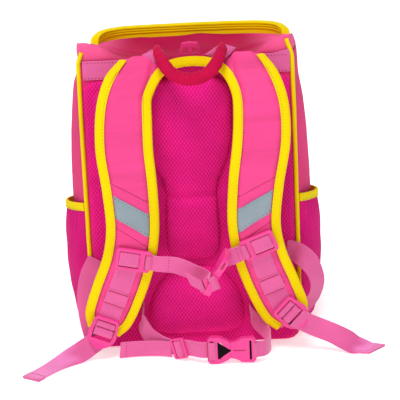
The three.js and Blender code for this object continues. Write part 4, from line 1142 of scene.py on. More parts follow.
def sewn_on(name, side, start, end, half, lift, thick, skew=0.0, rows=28, columns=9, crown=0.0):
    """A band of cloth sewn on a strap's face, which it follows."""
    rings = []
    for share in np.linspace(0, 1, rows):
        over, under = [], []
        for a in np.linspace(-half, half, columns):
            t = start + (end - start) * share - side * skew * a / half
            face = strap_face(side, t, a)
            soft = 0.5 * step(abs(a), half - 1.2, half)
            over.append(on_strap(side, t, a, face + lift + thick - soft + crown * math.sin(math.pi * share)))
            under.append(on_strap(side, t, a, face + lift - 0.6))
        rings.append([*over, *under[::-1]])
    return loft(name, rings)


def bar_stitches(name, side, start, half, skew, lift, finish):
    """A row of stitches straight across a strap."""
    spots = np.arange(-half + 1.5, half - 1, 4.0)
    places, ways, outs = [], [], []
    for a in spots:
        t = start - side * skew * a / half
        _, along, across, out, _ = strap_frame(side, t)
        places.append(on_strap(side, t, a, strap_face(side, t, a) + lift))
        ways.append(across + along * (-side * skew * STRAP_LENGTH / half))
        outs.append(out)
    return stitches(name, places, ways, outs, finish)


def bar_cord(name, side, start, half, skew, lift=0.1):
    """A fine seam cord straight across a strap: thread, and painted shade of its sunk groove."""
    rings = []
    for a in np.linspace(-half, half, 25):
        t = start - side * skew * a / REFLECTOR["half"]
        _, along, _, out, _ = strap_frame(side, t)
        middle = on_strap(side, t, a, strap_face(side, t, a) + lift)
        rings.append([middle + along * w + out * o for w, o in ((-0.6, 0), (0, 0.35), (0.6, 0), (0, -0.6))])
    return loft(name, rings)


# Shares of a strap where bars of stitches cross its webbing, which is doubled between them.
WEBBING_BARS = {"left": (0.79, 0.832), "right": (0.762, 0.808)}
FOLD_BEYOND = 0.004  # the doubled part goes on past its bars by this share
FOLD_WIDER = 0.4
FOLD_THICK = 1.0
FOLD_CROWN = 1.8  # its rise between the bars
BAR_STITCHES = TAPE + 1.7  # heights over the strap's face
BAR_SEAM = TAPE + 1.5
REFLECTOR_STITCHES = 1.1
STITCHED_INSIDE = 0.006  # the reflector's stitches are inside its ends by this share
YOKE_TOP = (-24.0, 37.0)  # the yoke's upper edge on the lid, from left to right


def padded_strap(side, ts):
    """Rings round a strap's padding: its full face and its flat back."""
    rings = []
    for t in ts:
        origin, _, across, out, half = strap_frame(side, t)
        low, high = -half + STRAP_INSET, half - STRAP_INSET
        front = [(w, strap_face(side, t, -side * w)) for w in np.linspace(low, high, 34)]
        back = [(w, -STRAP_EDGE - min((w - low) / STRAP_BEVEL, (high - w) / STRAP_BEVEL, 1))
                for w in np.linspace(high, low, 12)]
        rings.append([origin + across * (-side * w) + out * o for w, o in [*front, *back]])
    return rings


def yoke_rings():
    """Cloth from under the neck tape's arch back to the lid."""
    arch = [(p, a) for p, a, _ in neck_frames() if p[2] > NECK["rise"] - 9 and abs(p[0] - 6) < 31]
    tops = np.linspace(*YOKE_TOP, len(arch))
    rings = []
    for share in np.linspace(0, 1, 14):
        row = []
        for x, (place, across) in zip(tops, arch):
            low, top = place - across * 3, np.array((x, -2.6, LID_EDGE + 1))
            row.append(low + (top - low) * share + (0, -1.5 * math.sin(math.pi * share), 0))
        rings.append([*row, *[at + (0, 1.2, 0.2) for at in row[::-1]]])
    return rings


def sew_padding(word, side):
    """A strap's padding in its nylon, and the binding on its outer edge."""
    ts = np.concatenate([np.linspace(0, STRAP_BEND, 30), np.linspace(STRAP_BEND, 1, 170)[1:]])
    pad = loft(f"shoulder_strap_{word}_cloth", padded_strap(side, ts))
    settle(pad, "nylon", [f"shoulder_strap_{word}"], angle=60)
    frames = smoothed([strap_edge(side, t, side) for t in np.linspace(0.0125, 1, 190)])
    tape = binding(f"strap_binding_{word}_tape", frames)
    settle(tape, "yellow", [f"strap_binding_{word}"])


def sew_bands(word, side):
    """A strap's reflector, its webbing and the webbing's doubled part."""
    first, last, wide, skew = (REFLECTOR[k] for k in ("from", "to", "half", "skew"))
    tape = sewn_on(f"reflector_{word}_tape", side, first, last, wide, REFLECTOR_LIFT, REFLECTOR_THICK, skew)
    settle(tape, "reflective", [f"reflector_{word}"])
    start, end, half = (SEWN_WEBBING[k] for k in ("from", "to", "half"))
    band = sewn_on(f"strap_webbing_{word}_tape", side, start, end, half, 0.0, TAPE, rows=60)
    settle(band, "webbing", [f"strap_webbing_{word}"])
    low, high = WEBBING_BARS[word]
    patch = sewn_on(f"webbing_fold_{word}", side, low - FOLD_BEYOND, high + FOLD_BEYOND, half + FOLD_WIDER,
                    TAPE, FOLD_THICK, rows=16, crown=FOLD_CROWN)
    settle(patch, "webbing")


def sew_bars(word, side):
    """Stitches and fine seams straight across a strap, on its webbing and at its reflector."""
    half = SEWN_WEBBING["half"]
    for k, t in enumerate(WEBBING_BARS[word]):
        bar_stitches(f"webbing_stitches_{word}_{k}", side, t, half, 0, BAR_STITCHES, "thread")
        # A dark cord: the seam's thread and the painted shade of its groove.
        seam_shade_cord = bar_cord(f"webbing_seam_{word}_{k}", side, t, half - 0.5, 0, BAR_SEAM)
        settle(seam_shade_cord, "thread")
    first, last, wide, skew, border = (REFLECTOR[k] for k in ("from", "to", "half", "skew", "border"))
    for k, t in enumerate((first - border, last + border)):
        seam = bar_cord(f"reflector_seam_{word}_{k}", side, t, wide + 3, skew)
        settle(seam, "thread")
    for k, t in enumerate((first + STITCHED_INSIDE, last - STITCHED_INSIDE)):
        bar_stitches(f"reflector_stitches_{word}_{k}", side, t, wide, skew, REFLECTOR_STITCHES, "grey_thread")


def sew_edges(word, side, pitch):
    """Stitches along the bindings on a strap's outer and inner edges."""
    seams = {
        "binding": (side, np.linspace(0.03, 0.99, 100)),
        "neck": (-side, np.linspace(0.085, 0.99, 96)),
    }
    for name, (way, ts) in seams.items():
        edges = [strap_edge(side, t, way) for t in ts]
        places = [p + a * BIND_SEAM[0] + o * BIND_SEAM[1] for p, a, o in edges]
        stitches(f"{name}_stitches_{word}", places, np.gradient(np.array(places), axis=0),
                 [o for _, _, o in edges], "yellow_thread", long=0.62 * pitch)


class BACKPACK_OT_straps(bpy.types.Operator):
    """Sews the padded shoulder straps with their bindings, reflectors and webbing"""
    bl_idname = "backpack.straps"
    bl_label = "Shoulder straps"

    def execute(self, context):
        pitch = context.scene.backpack_sizes.stitch * 1000
        for word, side in SIDES.items():
            sew_padding(word, side)
            sew_bands(word, side)
            sew_bars(word, side)
            sew_edges(word, side, pitch)
        # The yoke under the neck's arch takes the lid's darkened cloth, as painted shade.
        settle(loft("neck_yoke_cloth", yoke_rings()), "lid")
        tape = binding("neck_binding_tape", smoothed(neck_frames()))
        settle(tape, "yellow", ["neck_binding"])
        return {"FINISHED"}


# Grab handle.
HANDLE_MIDDLE = 6.0
HANDLE_WIDE = 7.5  # half the grip's width
HANDLE_THICK = 5.5  # half its thickness
GRIP_WIDE_WAY = np.array((0, 0.5, 0.87))
# Half of the grip's line, from its end to its middle: distance from the middle, ahead and up.
GRIP = [(38, 7, 366), (35.5, 22, 362), (29.5, 36, 352.5), (19, 44, 342.5), (7, 47, 338)]
# A webbing end, from the lid up to the grip: distance from the middle, y, rise over the lid and half width.
HANDLE_END = np.array([(43, 20, -1.2, 13), (42, 4, 1, 13), (40, -2.4, 5, 11), (38.4, -5.7, 9.5, 8)])
# The webbing folds to a point where it takes the grip: the fold's point, and its high and low corners.
HANDLE_FOLDS = {
    "left": [((-50, -3, 360), (-29, -9, 368.5), (-36, -12, 347))],
    "right": [((60, -3, 363.5), (43.5, -9, 370.5), (47, -12, 353)),
              ((23, -4, 357), (41, -8, 369.5), (36, -8, 353))],
}


def fold(name, point, high, low):
    """A triangle of webbing, folded round towards the camera's side."""
    point, high, low = (np.array(c, float) for c in (point, high, low))
    rings = []
    for share in np.linspace(0.03, 1, 9):
        over, under = [], []
        for part in np.linspace(0, 1, 9):
            at = point + (high + (low - high) * part - point) * share
            at = at + (0, -2.2 * math.sin(math.pi * share) * math.sin(math.pi * (0.15 + 0.7 * part)), 0)
            over.append(at)
            under.append(at + (0, TAPE, 0))
        rings.append([*over, *under[::-1]])
    return loft(name, rings)


def grip_rings():
    """Rings round the handle's padded grip."""
    half = [(-x, -ahead, z) for x, ahead, z in GRIP]
    line = np.array([*half, *[(-x, y, z) for x, y, z in half[::-1]]]) + (HANDLE_MIDDLE, 0, 0)
    line = curve(line, np.linspace(0, 1, 120), even=False)
    along = unit(np.gradient(line, axis=0))
    wide = unit(GRIP_WIDE_WAY - (along @ GRIP_WIDE_WAY)[:, None] * along)
    thick = np.cross(along, wide)
    rings = []
    for i, (p, w, h) in enumerate(zip(line, wide, thick)):
        share = i / (len(line) - 1)
        end = 0.8 + 0.2 * step(min(share, 1 - share), 0, 0.05)
        ring = []
        for a in np.linspace(0, 2 * math.pi, 28, endpoint=False):
            # The cloth creases across the grip, most on the inside of its bend.
            crease = 0.35 * math.sin(share * 2 * math.pi * 17) * (0.35 + 0.65 * max(math.sin(a), 0))
            crease += 0.5 * ripple((share * 130, 9 * math.cos(a), 9 * math.sin(a)), 11)
            wide_part = w * (HANDLE_WIDE + crease) * math.cos(a)
            ring.append(p + (wide_part + h * (HANDLE_THICK + crease) * math.sin(a)) * end)
        rings.append(ring)
    return rings


def end_rings(side):
    """Rings round the webbing that holds one end of the grip, gathered towards it."""
    rings = []
    for away, y, lift, wide_half in curve(HANDLE_END, np.linspace(0, 1, 25)):
        over, under = [], []
        for a in np.linspace(-1, 1, 13):
            x = HANDLE_MIDDLE + side * away + a * wide_half
            z = LID_EDGE + lift + 0.5 * math.cos(a * 3 * math.pi) * step(-y, -4, 4)
            over.append((x, y, z + TAPE / 2))
            under.append((x, y, z - TAPE / 2))
        rings.append([*over, *under[::-1]])
    return rings


class BACKPACK_OT_handle(bpy.types.Operator):
    """Sews the grab handle: its padded grip, its webbing ends and the hanging loop between them"""
    bl_idname = "backpack.handle"
    bl_label = "Grab handle"

    def execute(self, context):
        grip = loft("handle_grip_cloth", grip_rings())
        settle(grip, "handle", ["handle_grip"], angle=70)
        for word, side in SIDES.items():
            name = f"handle_end_{word}"
            made = [loft(f"{name}_webbing", end_rings(side))]
            for k, corners in enumerate(HANDLE_FOLDS[word]):
                made.append(fold(f"handle_fold_{word}_{k}", *corners))
            settle(join(f"{name}_webbing", made), "top_webbing", [name])
        loop = moulded("hang_loop_cloth", "hang_loop", context.scene.backpack_sizes.edge)
        lay_flat_map(loop)
        settle(loop, "side_nylon", ["hang_loop"])
        return {"FINISHED"}


# Hardware, in each piece's own frame: along it, across it and out of it.
LOCK_LIFT = 8.1
# A lock's share of the strap's length, its turn on the strap and its shift across.
LOCKS = {"left": (0.975, 0.0, -1.0), "right": (0.91, 0.42, 6.0)}
LOCK_CUTS = (12.5, 14.5, 16.5, 18.5)  # where a lock's thumb lip bends
LOCK_TAPER = 0.16  # share by which a lock narrows to its top bar
LIP_FROM = 11.5  # where its thumb lip starts to curve outwards
LIP_CURVE = 0.028
# Slots run from and to along a piece, with a half width, and painted shade fills them from and to a height.
LOCK_SLOTS = ((-13.2, -9.4, 11), (-6.1, -2.4, 11))
LOCK_SLOT_FILL = (1.4, 2.4)
LOCK_MOUTH = (4.4, 11.1, 12)
LOCK_MOUTH_FILL = (2.2, 3.2)
SLIDER_THICK = 3.6
SLIDER_LIFT = 7.3
SLIDER_END = 25.0
# A slider's share, its turn, the way that the chest strap leaves it and its shift across.
SLIDERS = {"left": (0.683, 0.05, 1, 0.0), "right": (0.655, 0.2, -1, 6.0)}
SLIDER_SLOTS = ((-10.1, -7.4, 12), (7.4, 10.1, 12))  # these two run from and to across the slider
SLIDER_MOUTH = (17.9, 20.6)
SLIDER_MOUTH_HALF = 9.5
SLIDER_FILL = (1.5, 2.5)
CHEST_SIDE_SLOT = (15, 25.5, 1.3)
CHEST_SIDE_FILL = (13.0, 13.8)
RECESS_EDGE = 0.0003  # metres of rounding on an inside's edges
PLUG_END = -27.8
SOCKET_END = 30.8
HIP_LEAD = 6.0  # the belt runs straight for this much beside the buckle
INTO_BUCKLE = 2.0
OVER_PLUG = 5.95  # height of the chest strap over its plug
UPRIGHT = np.array((0, 0, 1.0))
KEEPER_YAW = 0.6  # the belt's slider faces this much to the left
KEEPER_TILT = 0.3  # and leans this much on the belt
PLUG_WAY = (0.33, 0, -0.94)  # across the chest strap where it turns round the plug's bar
# The chest plug's bar, and a dark strip of painted shade in its slots.
PLUG_BARS = [
    ("chest_plug_bar", ((11.2, -72.9, 97.8), (13.3, -73.4, 98.5), (15.6, -72.9, 99.1)), 16.0, "plastic"),
    ("chest_plug_slots", ((9.2, -71.2, 97.2), (13.4, -71.2, 98.4), (18.4, -71.2, 99.6)), 14.6, "thread"),
]
BELT_LIFT = 2.0  # the belt hangs this much higher than its solids
HIP_TALLER = 1.15  # the hip buckle stands this much taller than the chest buckle
CHEST_TURN = math.radians(-48)  # the hanging chest buckle has turned this much on its own length


def turned(way, axis, angle):
    return np.array(Matrix.Rotation(angle, 3, Vector(axis)) @ Vector(way))


def lock_frame(word):
    t, turn, shift = LOCKS[word]
    origin, along, across, out, _ = strap_frame(SIDES[word], t)
    along = turned(along, out, turn)
    return origin + out * LOCK_LIFT + across * shift, along, np.cross(out, along), out


def slider_frame(word):
    t, turn, _, shift = SLIDERS[word]
    origin, _, across, out, _ = strap_frame(SIDES[word], t)
    along = turned(across, out, turn)
    return origin + out * SLIDER_LIFT + across * shift, along, np.cross(out, along), out


def buckle_frame(word):
    if word == "hip":
        middle, along = np.array((38, -74, 15.2 + BELT_LIFT)), unit((1, -0.05, 0))
        out = unit((-0.05, -1, 0))
    else:
        middle, along = np.array((25.3, -66, 110.5)), unit((0.465, -0.264, 0.846))
        out = np.array((-0.66, -0.72, 0.14))
        out = turned(unit(out - along * (out @ along)), along, CHEST_TURN)
    return middle, along, np.cross(out, along), out


def keeper_frame():
    along = np.array((math.cos(KEEPER_YAW), -math.sin(KEEPER_YAW), 0))
    out = np.array((-math.sin(KEEPER_YAW), -math.cos(KEEPER_YAW), 0))
    along = turned(along, out, KEEPER_TILT)
    return np.array((-22, -56.5, 12.8 + BELT_LIFT)), along, np.cross(out, along), out


def spot(frame_of, x, b, o):
    """A place on a piece of hardware: along it, across it and out of it."""
    origin, along, across, out = frame_of
    return origin + along * x + across * b + out * o


def moulded(name, node, edge):
    """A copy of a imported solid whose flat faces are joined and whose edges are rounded, as from a mould."""
    obj = bpy.data.objects.new(name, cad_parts[node].data.copy())
    bpy.context.scene.collection.objects.link(obj)
    use_alone(obj)
    bpy.ops.mesh.customdata_custom_splitnormals_clear()
    bpy.ops.object.mode_set(mode="EDIT")
    bpy.ops.mesh.select_mode(type="EDGE")
    bpy.ops.mesh.select_all(action="SELECT")
    bpy.ops.mesh.remove_doubles(threshold=1e-5)
    bpy.ops.mesh.dissolve_limited(angle_limit=math.radians(1))
    bpy.ops.mesh.select_all(action="DESELECT")
    bpy.ops.mesh.edges_select_sharp(sharpness=math.radians(40))
    bpy.ops.mesh.bevel(offset=edge, segments=3, profile=0.5, clamp_overlap=True)
    bpy.ops.object.mode_set(mode="OBJECT")
    return obj


def cut_across(obj, frame_of, places):
    """Cuts a piece straight across at places along it, so that it can bend there."""
    use_alone(obj)
    bpy.ops.object.mode_set(mode="EDIT")
    for x in places:
        bpy.ops.mesh.select_all(action="SELECT")
        bpy.ops.mesh.bisect(plane_co=in_row(spot(frame_of, x, 0, 0))[0], plane_no=frame_of[1])
    bpy.ops.object.mode_set(mode="OBJECT")


def reshape(obj, frame_of, change):
    """Moves a piece's points by a rule on their places along it, across it and out of it."""
    axes = np.array(frame_of[1:])
    home = in_row(frame_of[0])[0]
    places = np.array([v.co for v in obj.data.vertices])
    local = change((places - home) @ axes.T * 1000)
    obj.data.vertices.foreach_set("co", (local @ axes / 1000 + home).ravel())


def turn_piece(obj, middle, axis, angle):
    home = Matrix.Translation(in_row(middle)[0])
    obj.data.transform(home @ Matrix.Rotation(angle, 4, Vector(axis)) @ home.inverted())


def lock_form(local):
    """A lock narrows to its top bar, and its thumb lip curves outwards."""
    local[:, 1] *= 1 - LOCK_TAPER * step(-local[:, 0], 2, 17)
    local[:, 2] += LIP_CURVE * np.maximum(local[:, 0] - LIP_FROM, 0) ** 2
    return local


def box(low, high, half):
    """The corners of a slot from low to high along a piece and half to each side."""
    return [(low, -half), (high, -half), (high, half), (low, half)]


def recess(name, corners, frame_of, low, high, finish):
    """A block from low to high that fills a slot or a window; in a dark or pink finish it is painted shade in
    place of the opening.
    """
    count = len(corners)
    bpy.ops.object.select_all(action="DESELECT")
    bpy.ops.mesh.primitive_cylinder_add(vertices=count, radius=0.01, depth=0.002)
    obj = bpy.context.object
    obj.name = name
    ends = sorted(obj.data.vertices, key=lambda v: (v.co.z, math.atan2(v.co.y, v.co.x)))
    for k, v in enumerate(ends):
        x, b = corners[k % count]
        v.co = Vector(in_row(spot(frame_of, x, b, low if k < count else high))[0])
    outward(obj)
    bpy.ops.object.mode_set(mode="EDIT")
    bpy.ops.mesh.select_all(action="SELECT")
    bpy.ops.mesh.bevel(offset=RECESS_EDGE, segments=2)
    bpy.ops.object.mode_set(mode="OBJECT")
    settle(obj, finish)


# The hip buckle's slots and windows: corners, depths and finish; all but the plastic one are painted shade.
HIP_RECESSES = [
    ("window", [(-15.2, -11.2), (1.4, 0), (-15.2, 11.2)], 3.2, 4.15, "recess"),
    ("slot", box(22.4, 25.1, 12.1), 0.5, 2.5, "recess"),
    ("plug_slot", box(-26.0, -13.6, 12.6), -1.6, 0.8, "inside"),
    ("meeting", box(-0.9, 0.9, 9.6), -3, 3.2, "plastic"),
    ("slit", box(3, 17.6, 0.9), 3.4, 4.1, "thread"),
    ("bar", box(-27.3, -26.2, 12), 3.2, 4.1, "thread"),
]


def mould_hardware(edge):
    """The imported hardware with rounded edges, each piece turned or stretched to its lie."""
    for word in SIDES:
        lock = moulded(f"ladder_lock_{word}_moulding", f"ladder_lock_{word}", 1.4 * edge)
        cut_across(lock, lock_frame(word), LOCK_CUTS)
        reshape(lock, lock_frame(word), lock_form)
        settle(lock, "plastic", [f"ladder_lock_{word}"])
    chest, hip = buckle_frame("chest"), buckle_frame("hip")
    for node in ("chest_slider_left", "chest_slider_right", "hip_slider", "chest_buckle_plug",
                 "chest_buckle_socket", "hip_buckle_plug", "hip_buckle_socket"):
        piece = moulded(f"{node}_moulding", node, 1.6 * edge)
        if node.startswith("chest_buckle"):
            turn_piece(piece, chest[0], chest[1], CHEST_TURN)
        if node == "hip_slider":
            middle, _, _, out = keeper_frame()
            piece.data.transform(Matrix.Translation((0, 0, BELT_LIFT / 1000)))
            turn_piece(piece, middle, out, KEEPER_TILT)
        if node.startswith("hip_buckle"):
            reshape(piece, hip, lambda local: (local + (0, BELT_LIFT, 0)) * (1, HIP_TALLER, 1))
        settle(piece, "plastic", [node])


def fill_slots():
    """Blocks and bars in the hardware's slots and windows, most of them painted shade in dark or deep pink.
    """
    for word, (_, _, way, _) in SLIDERS.items():
        lock, slider = lock_frame(word), slider_frame(word)
        for k, slot in enumerate(LOCK_SLOTS):
            recess(f"ladder_lock_{word}_slot_{k}", box(*slot), lock, *LOCK_SLOT_FILL, "thread")
        recess(f"ladder_lock_{word}_mouth", box(*LOCK_MOUTH), lock, *LOCK_MOUTH_FILL, "inside")
        for k, slot in enumerate(SLIDER_SLOTS):
            corners = [(b, x) for x, b in box(*slot)]
            recess(f"chest_slider_{word}_slot_{k}", corners, slider, *SLIDER_FILL, "thread")
        low, high = sorted(way * end for end in SLIDER_MOUTH)
        mouth = box(low, high, SLIDER_MOUTH_HALF)
        recess(f"chest_slider_{word}_mouth", mouth, slider, *SLIDER_FILL, "thread")
    middle, along, across, out = buckle_frame("chest")
    sideways = (middle, along, out, -across)
    recess("chest_buckle_side_slot", box(*CHEST_SIDE_SLOT), sideways, *CHEST_SIDE_FILL, "thread")
    for name, line, width, finish in PLUG_BARS:
        bar, _ = strip(name, [(at, PLUG_WAY) for at in line], width, fine=5)
        settle(bar, finish)
    for name, corners, low, high, finish in HIP_RECESSES:
        recess(f"hip_buckle_{name}", corners, buckle_frame("hip"), low, high, finish)


class BACKPACK_OT_hardware(bpy.types.Operator):
    """Moulds the ladder locks, sliders and side-release buckles"""
    bl_idname = "backpack.hardware"
    bl_label = "Buckles, sliders and locks"

    def execute(self, context):
        mould_hardware(context.scene.backpack_sizes.edge)
        fill_slots()
        return {"FINISHED"}


# Straps of webbing.
def webbings():
    """Each strap of webbing: rows of place and across direction, its width, its hem and how it is held."""
    leads = {}
    for word, (_, _, way, _) in SLIDERS.items():
        at = slider_frame(word)
        leads[word] = [(spot(at, way * (SLIDER_END + beyond), 0, SLIDER_THICK / 2 + lift), at[2])
                       for beyond, lift in ((1, 0), (7, 1.4))]
    chest, hip, keeper, lock = buckle_frame("chest"), buckle_frame("hip"), keeper_frame(), lock_frame("right")
    return {
        "chest_webbing_left": ([
            *leads["left"],
            ((-22, -55.5, 118.5), (0.05, 0, 1)),
            ((-4, -54.5, 110), (0.25, -0.1, 0.95)),
            (spot(chest, -18, 9, OVER_PLUG), chest[1]),
            (spot(chest, -18, -10, OVER_PLUG), chest[1]),
        ], NARROW, 0, "hung"),
        "chest_webbing_right": ([
            ((36, -64, 127), (-0.4, -0.05, 0.92)),
            *leads["right"][::-1],
        ], NARROW, 0, "hung"),
        "hip_webbing_left": ([
            ((-64.5, -6.2, 50), (0.1, 0, 1)),
            ((-65, -16, 48), (0.1, 0, 1)),
            ((-66, -26, 41), (0.15, 0, 1)),
            ((-60, -34, 26), (0.2, 0, 1)),
            ((-46, -39.5, 16), (0.1, 0, 1)),
            ((-31, -48.5, 13.4), UPRIGHT),
            ((-12, -61.5, 16.5), UPRIGHT),
            (spot(hip, PLUG_END - HIP_LEAD, 0, 0), hip[2]),
            (spot(hip, PLUG_END + INTO_BUCKLE, 0, 0), hip[2]),
        ], NARROW, 0, "hung"),
        "hip_tail": ([
            (spot(keeper, -12, 0, 1.2), UPRIGHT),
            ((-46, -46, 11), UPRIGHT),
            ((-70, -44, 11), UPRIGHT),
            ((-94, -46, 11), (0.15, 0, 1)),
        ], NARROW, 11, "laid"),
        "hip_webbing_right": ([
            (spot(hip, SOCKET_END - INTO_BUCKLE, 0, 0), hip[2]),
            (spot(hip, SOCKET_END + HIP_LEAD, 0, 0), hip[2]),
            ((84, -63, 15.8), UPRIGHT),
            ((86.5, -48, 19), UPRIGHT),
            ((80, -34, 25), (0.1, 0, 1)),
            ((70, -24, 34), (0.1, 0, 1)),
            ((66, -14, 39), (-0.1, 0, 1)),
            ((65.5, -5.2, 40), (-0.1, 0, 1)),
        ], NARROW, 0, "hung"),
        "lower_webbing_left": ([
            ((-117, -5.6, 113), (0.87, 0, -0.5)),
            ((-120.5, -6.2, 107), (0.87, 0, -0.5)),
            ((-127, -13, 94), (0.95, 0, -0.3)),
            ((-131, -20, 72), (1, 0, -0.1)),
            ((-130, -25, 48), (1, 0, 0)),
            ((-125, -27, 20), (1, 0, 0.1)),
        ], WIDE, 0, "hung"),
        "strap_tail_left": ([
            ((-121, -44.7, 24), (0.55, 0, -0.83)),
            ((-130, -46.5, 18.5), (0.57, -0.1, -0.81)),
            ((-143, -49, 11), (0.62, -0.4, -0.67)),
            ((-158, -54.5, 5.5), (0.72, -0.6, -0.35)),
            ((-175, -70, 2.6), (0.8, -0.6, -0.05)),
            ((-196.5, -99, 1.8), (0.83, -0.55, 0)),
        ], WIDE, 12, "laid"),
        "lower_webbing_right": ([
            ((112, -5.6, 115), (0.1, 0, 1)),
            ((120, -6.2, 114), (0.1, 0, 1)),
            ((130, -13, 109), (0.4, 0.3, 0.9)),
            ((140, -18, 99), (0.6, 0.6, 0.65)),
            ((147, -22, 80), (0.7, 0.7, 0.1)),
            ((142, -25, 61), (0.65, 0.7, -0.2)),
            ((129, -28, 49), (0.8, 0.5, -0.4)),
            ((116, -30, 40), (0.7, 0.2, -0.7)),
        ], WIDE, 0, "hung"),
        "strap_tail_right": ([
            (spot(lock, 8, 0, 5.4), lock[2]),
            ((137, -50, 34), (0.65, 0, 0.76)),
            ((163.6, -55, 23), (0.58, 0, 0.82)),
            ((176.7, -56, 15.5), (0.72, 0.33, 0.61)),
            ((187, -55, 8), (0.62, 0.64, 0.45)),
            ((200, -54, 3.2), (0.63, 0.77, 0.1)),
            ((214, -56, 1.8), (0.7, 0.7, 0)),
        ], WIDE, 12, "laid"),
    }


# Turns of webbing over bars: distance along the hardware and height over it.
LOCK_TURNS = {
    "upper": ((-10.9, 1.2), (-10.2, 4.6), (-8.0, 6.6), (-5.9, 5.0), (-5.1, 1.6)),
    "lower": ((-4.0, 1.6), (-3.0, 5.4), (0.8, 7.6), (4.4, 6.0), (5.6, 1.4)),
}
SLIDER_TURN = ((-8.6, 1.0), (-7.6, 3.4), (-4.6, 5.6), (0, 6.6), (4.6, 5.6), (7.6, 3.4), (8.6, 1.0))
SLIDER_BAR_TURN = ((19.2, 0.6), (20.6, 4.0), (23.0, 4.8), (25.6, 3.6), (26.4, 1.8))
HIP_PLUG_TURN = ((-25.9, 2.5), (-24.6, 4.8), (-21.4, 5.5), (-18.2, 4.8), (-16.9, 2.5))
HIP_SOCKET_TURN = ((27.6, 2.4), (28.4, 4.6), (30.0, 4.7), (31.4, 3.0), (33.0, 0.9))
KEEPER_OVER = ((-5.0, 0.6), (-3.2, 3.6), (0, 4.2), (3.2, 3.6), (5.0, 0.6))
# Places of the chest strap's folded end, and of its turn round the plug's bar.
CHEST_END_FOLD = ((-8.1, -70, 106.7), (1, -72.5, 101.6), (9.5, -73.5, 96.6))
CHEST_PLUG_TURN = ((17.6, -72, 98.2), (19.0, -76, 100.2), (23.2, -76.5, 102), (26.0, -72, 101.6))
TURN_WIDTHS = {"lock": 22.5, "slider": 22.4, "slider_bar": 18.0, "hip_plug": 22.0, "hip_socket": 19.0,
               "chest_end": 12.6, "chest_plug": 17.0, "keeper": 19.0}


def wraps():
    """Short turns of webbing over the bars of the hardware: their rows and widths."""
    def over(frame_of, turn, way=1):
        return [(spot(frame_of, way * x, 0, o), frame_of[2]) for x, o in turn]

    made = {}
    for word, (_, _, way, _) in SLIDERS.items():
        for part, turn in LOCK_TURNS.items():
            made[f"lock_turn_{word}_{part}"] = (over(lock_frame(word), turn), TURN_WIDTHS["lock"])
        at = slider_frame(word)
        across = [(spot(at, 0, b, o), at[1]) for b, o in SLIDER_TURN]
        made[f"slider_turn_{word}"] = (across, TURN_WIDTHS["slider"])
        made[f"slider_bar_turn_{word}"] = (over(at, SLIDER_BAR_TURN, way), TURN_WIDTHS["slider_bar"])
    hip = buckle_frame("hip")
    made["hip_plug_turn"] = (over(hip, HIP_PLUG_TURN), TURN_WIDTHS["hip_plug"])
    made["hip_socket_turn"] = (over(hip, HIP_SOCKET_TURN), TURN_WIDTHS["hip_socket"])
    made["chest_end_fold"] = ([(at, PLUG_WAY) for at in CHEST_END_FOLD], TURN_WIDTHS["chest_end"])
    made["chest_plug_turn"] = ([(at, PLUG_WAY) for at in CHEST_PLUG_TURN], TURN_WIDTHS["chest_plug"])
    made["keeper_turn"] = (over(keeper_frame(), KEEPER_OVER), TURN_WIDTHS["keeper"])
    return made


# Rows of stitches across a strap: its name, the share of its length, and the row's half width.
STITCHED = [("strap_tail_left", 0.94, 10.5), ("strap_tail_right", 0.95, 10.5), ("hip_tail", 0.9, 8.5),
            ("chest_webbing_left", 0.33, 8.5), ("chest_webbing_right", 0.55, 8.5)]


class BACKPACK_OT_webbing(bpy.types.Operator):
    """Threads the chest strap, hip belt and lower straps through their hardware"""
    bl_idname = "backpack.webbing"
    bl_label = "Webbing"

    def execute(self, context):
        made = webbings()
        for node, (rows, width, hem, held) in made.items():
            obj, length = strip(f"{node}_strap", rows, width, hem=hem)
            # Painted highlight: faces that turn up to the light take the paler colour.
            mark_painted_highlight(obj, lambda v: step(v.normal.z, 0.5, 0.95))
            settle(obj, "webbing", [node])
        for name, (rows, width) in wraps().items():
            obj, _ = strip(name, rows, width, fine=5, skewed=name.startswith("chest"))
            settle(obj, "webbing")
        for node, share, half in STITCHED:
            rows, _, hem, _ = made[node]
            (middle,), (across,), (out,) = strip_line(rows, [share], skewed=hem > 0)
            if out[1] >= 0 and out[2] <= 0.6:
                out = -out
            lift = TAPE / 2 * (HEM_SWELL if hem else 1.0)
            places = [middle + across * a + out * lift for a in np.arange(-half, half + 0.1, 3.4)]
            stitches(f"{node}_stitches", places, across, out, "thread")
        return {"FINISHED"}


# Studio, in metres.
CAMERA_TARGET = Vector((0.010, -0.079, 0.181))
CAMERA_DISTANCE = 1.6
CAMERA_RISE = math.radians(16)
CAMERA_ROLL = math.radians(2.6)
CAMERA_LENS = 120.0
CAMERA_SENSOR = 36.0
FLOOR_REACH = 25.0  # to the front and to each side
FLOOR_BACK = 1.6  # where the paper starts to curve up behind the bag
FLOOR_CURVE = 1.2
FLOOR_TOP = 4.5
PAPER_GLOW = 0.5
SKY_STRENGTH = 0.18
# Each lamp's place, target, size and power.
LAMPS = {
    "key": ((-1.0, -3.0, 1.35), (0, 0, 0.15), 1.6, 9),
    "fill": ((1.5, -2.9, 0.9), (0, 0, 0.2), 1.8, 6),
    "top": ((-0.3, -1.1, 2.5), (0, -0.1, 0.1), 1.3, 50),
}


def lamp(name, place, target, size, power):
    light = bpy.data.lights.new(name, "AREA")
    light.shape = "DISK"
    light.size = size
    light.energy = power
    obj = bpy.data.objects.new(name, light)
    obj.location = place
    obj.rotation_euler = (Vector(target) - Vector(place)).to_track_quat("-Z", "Y").to_euler()
    bpy.context.scene.collection.objects.link(obj)


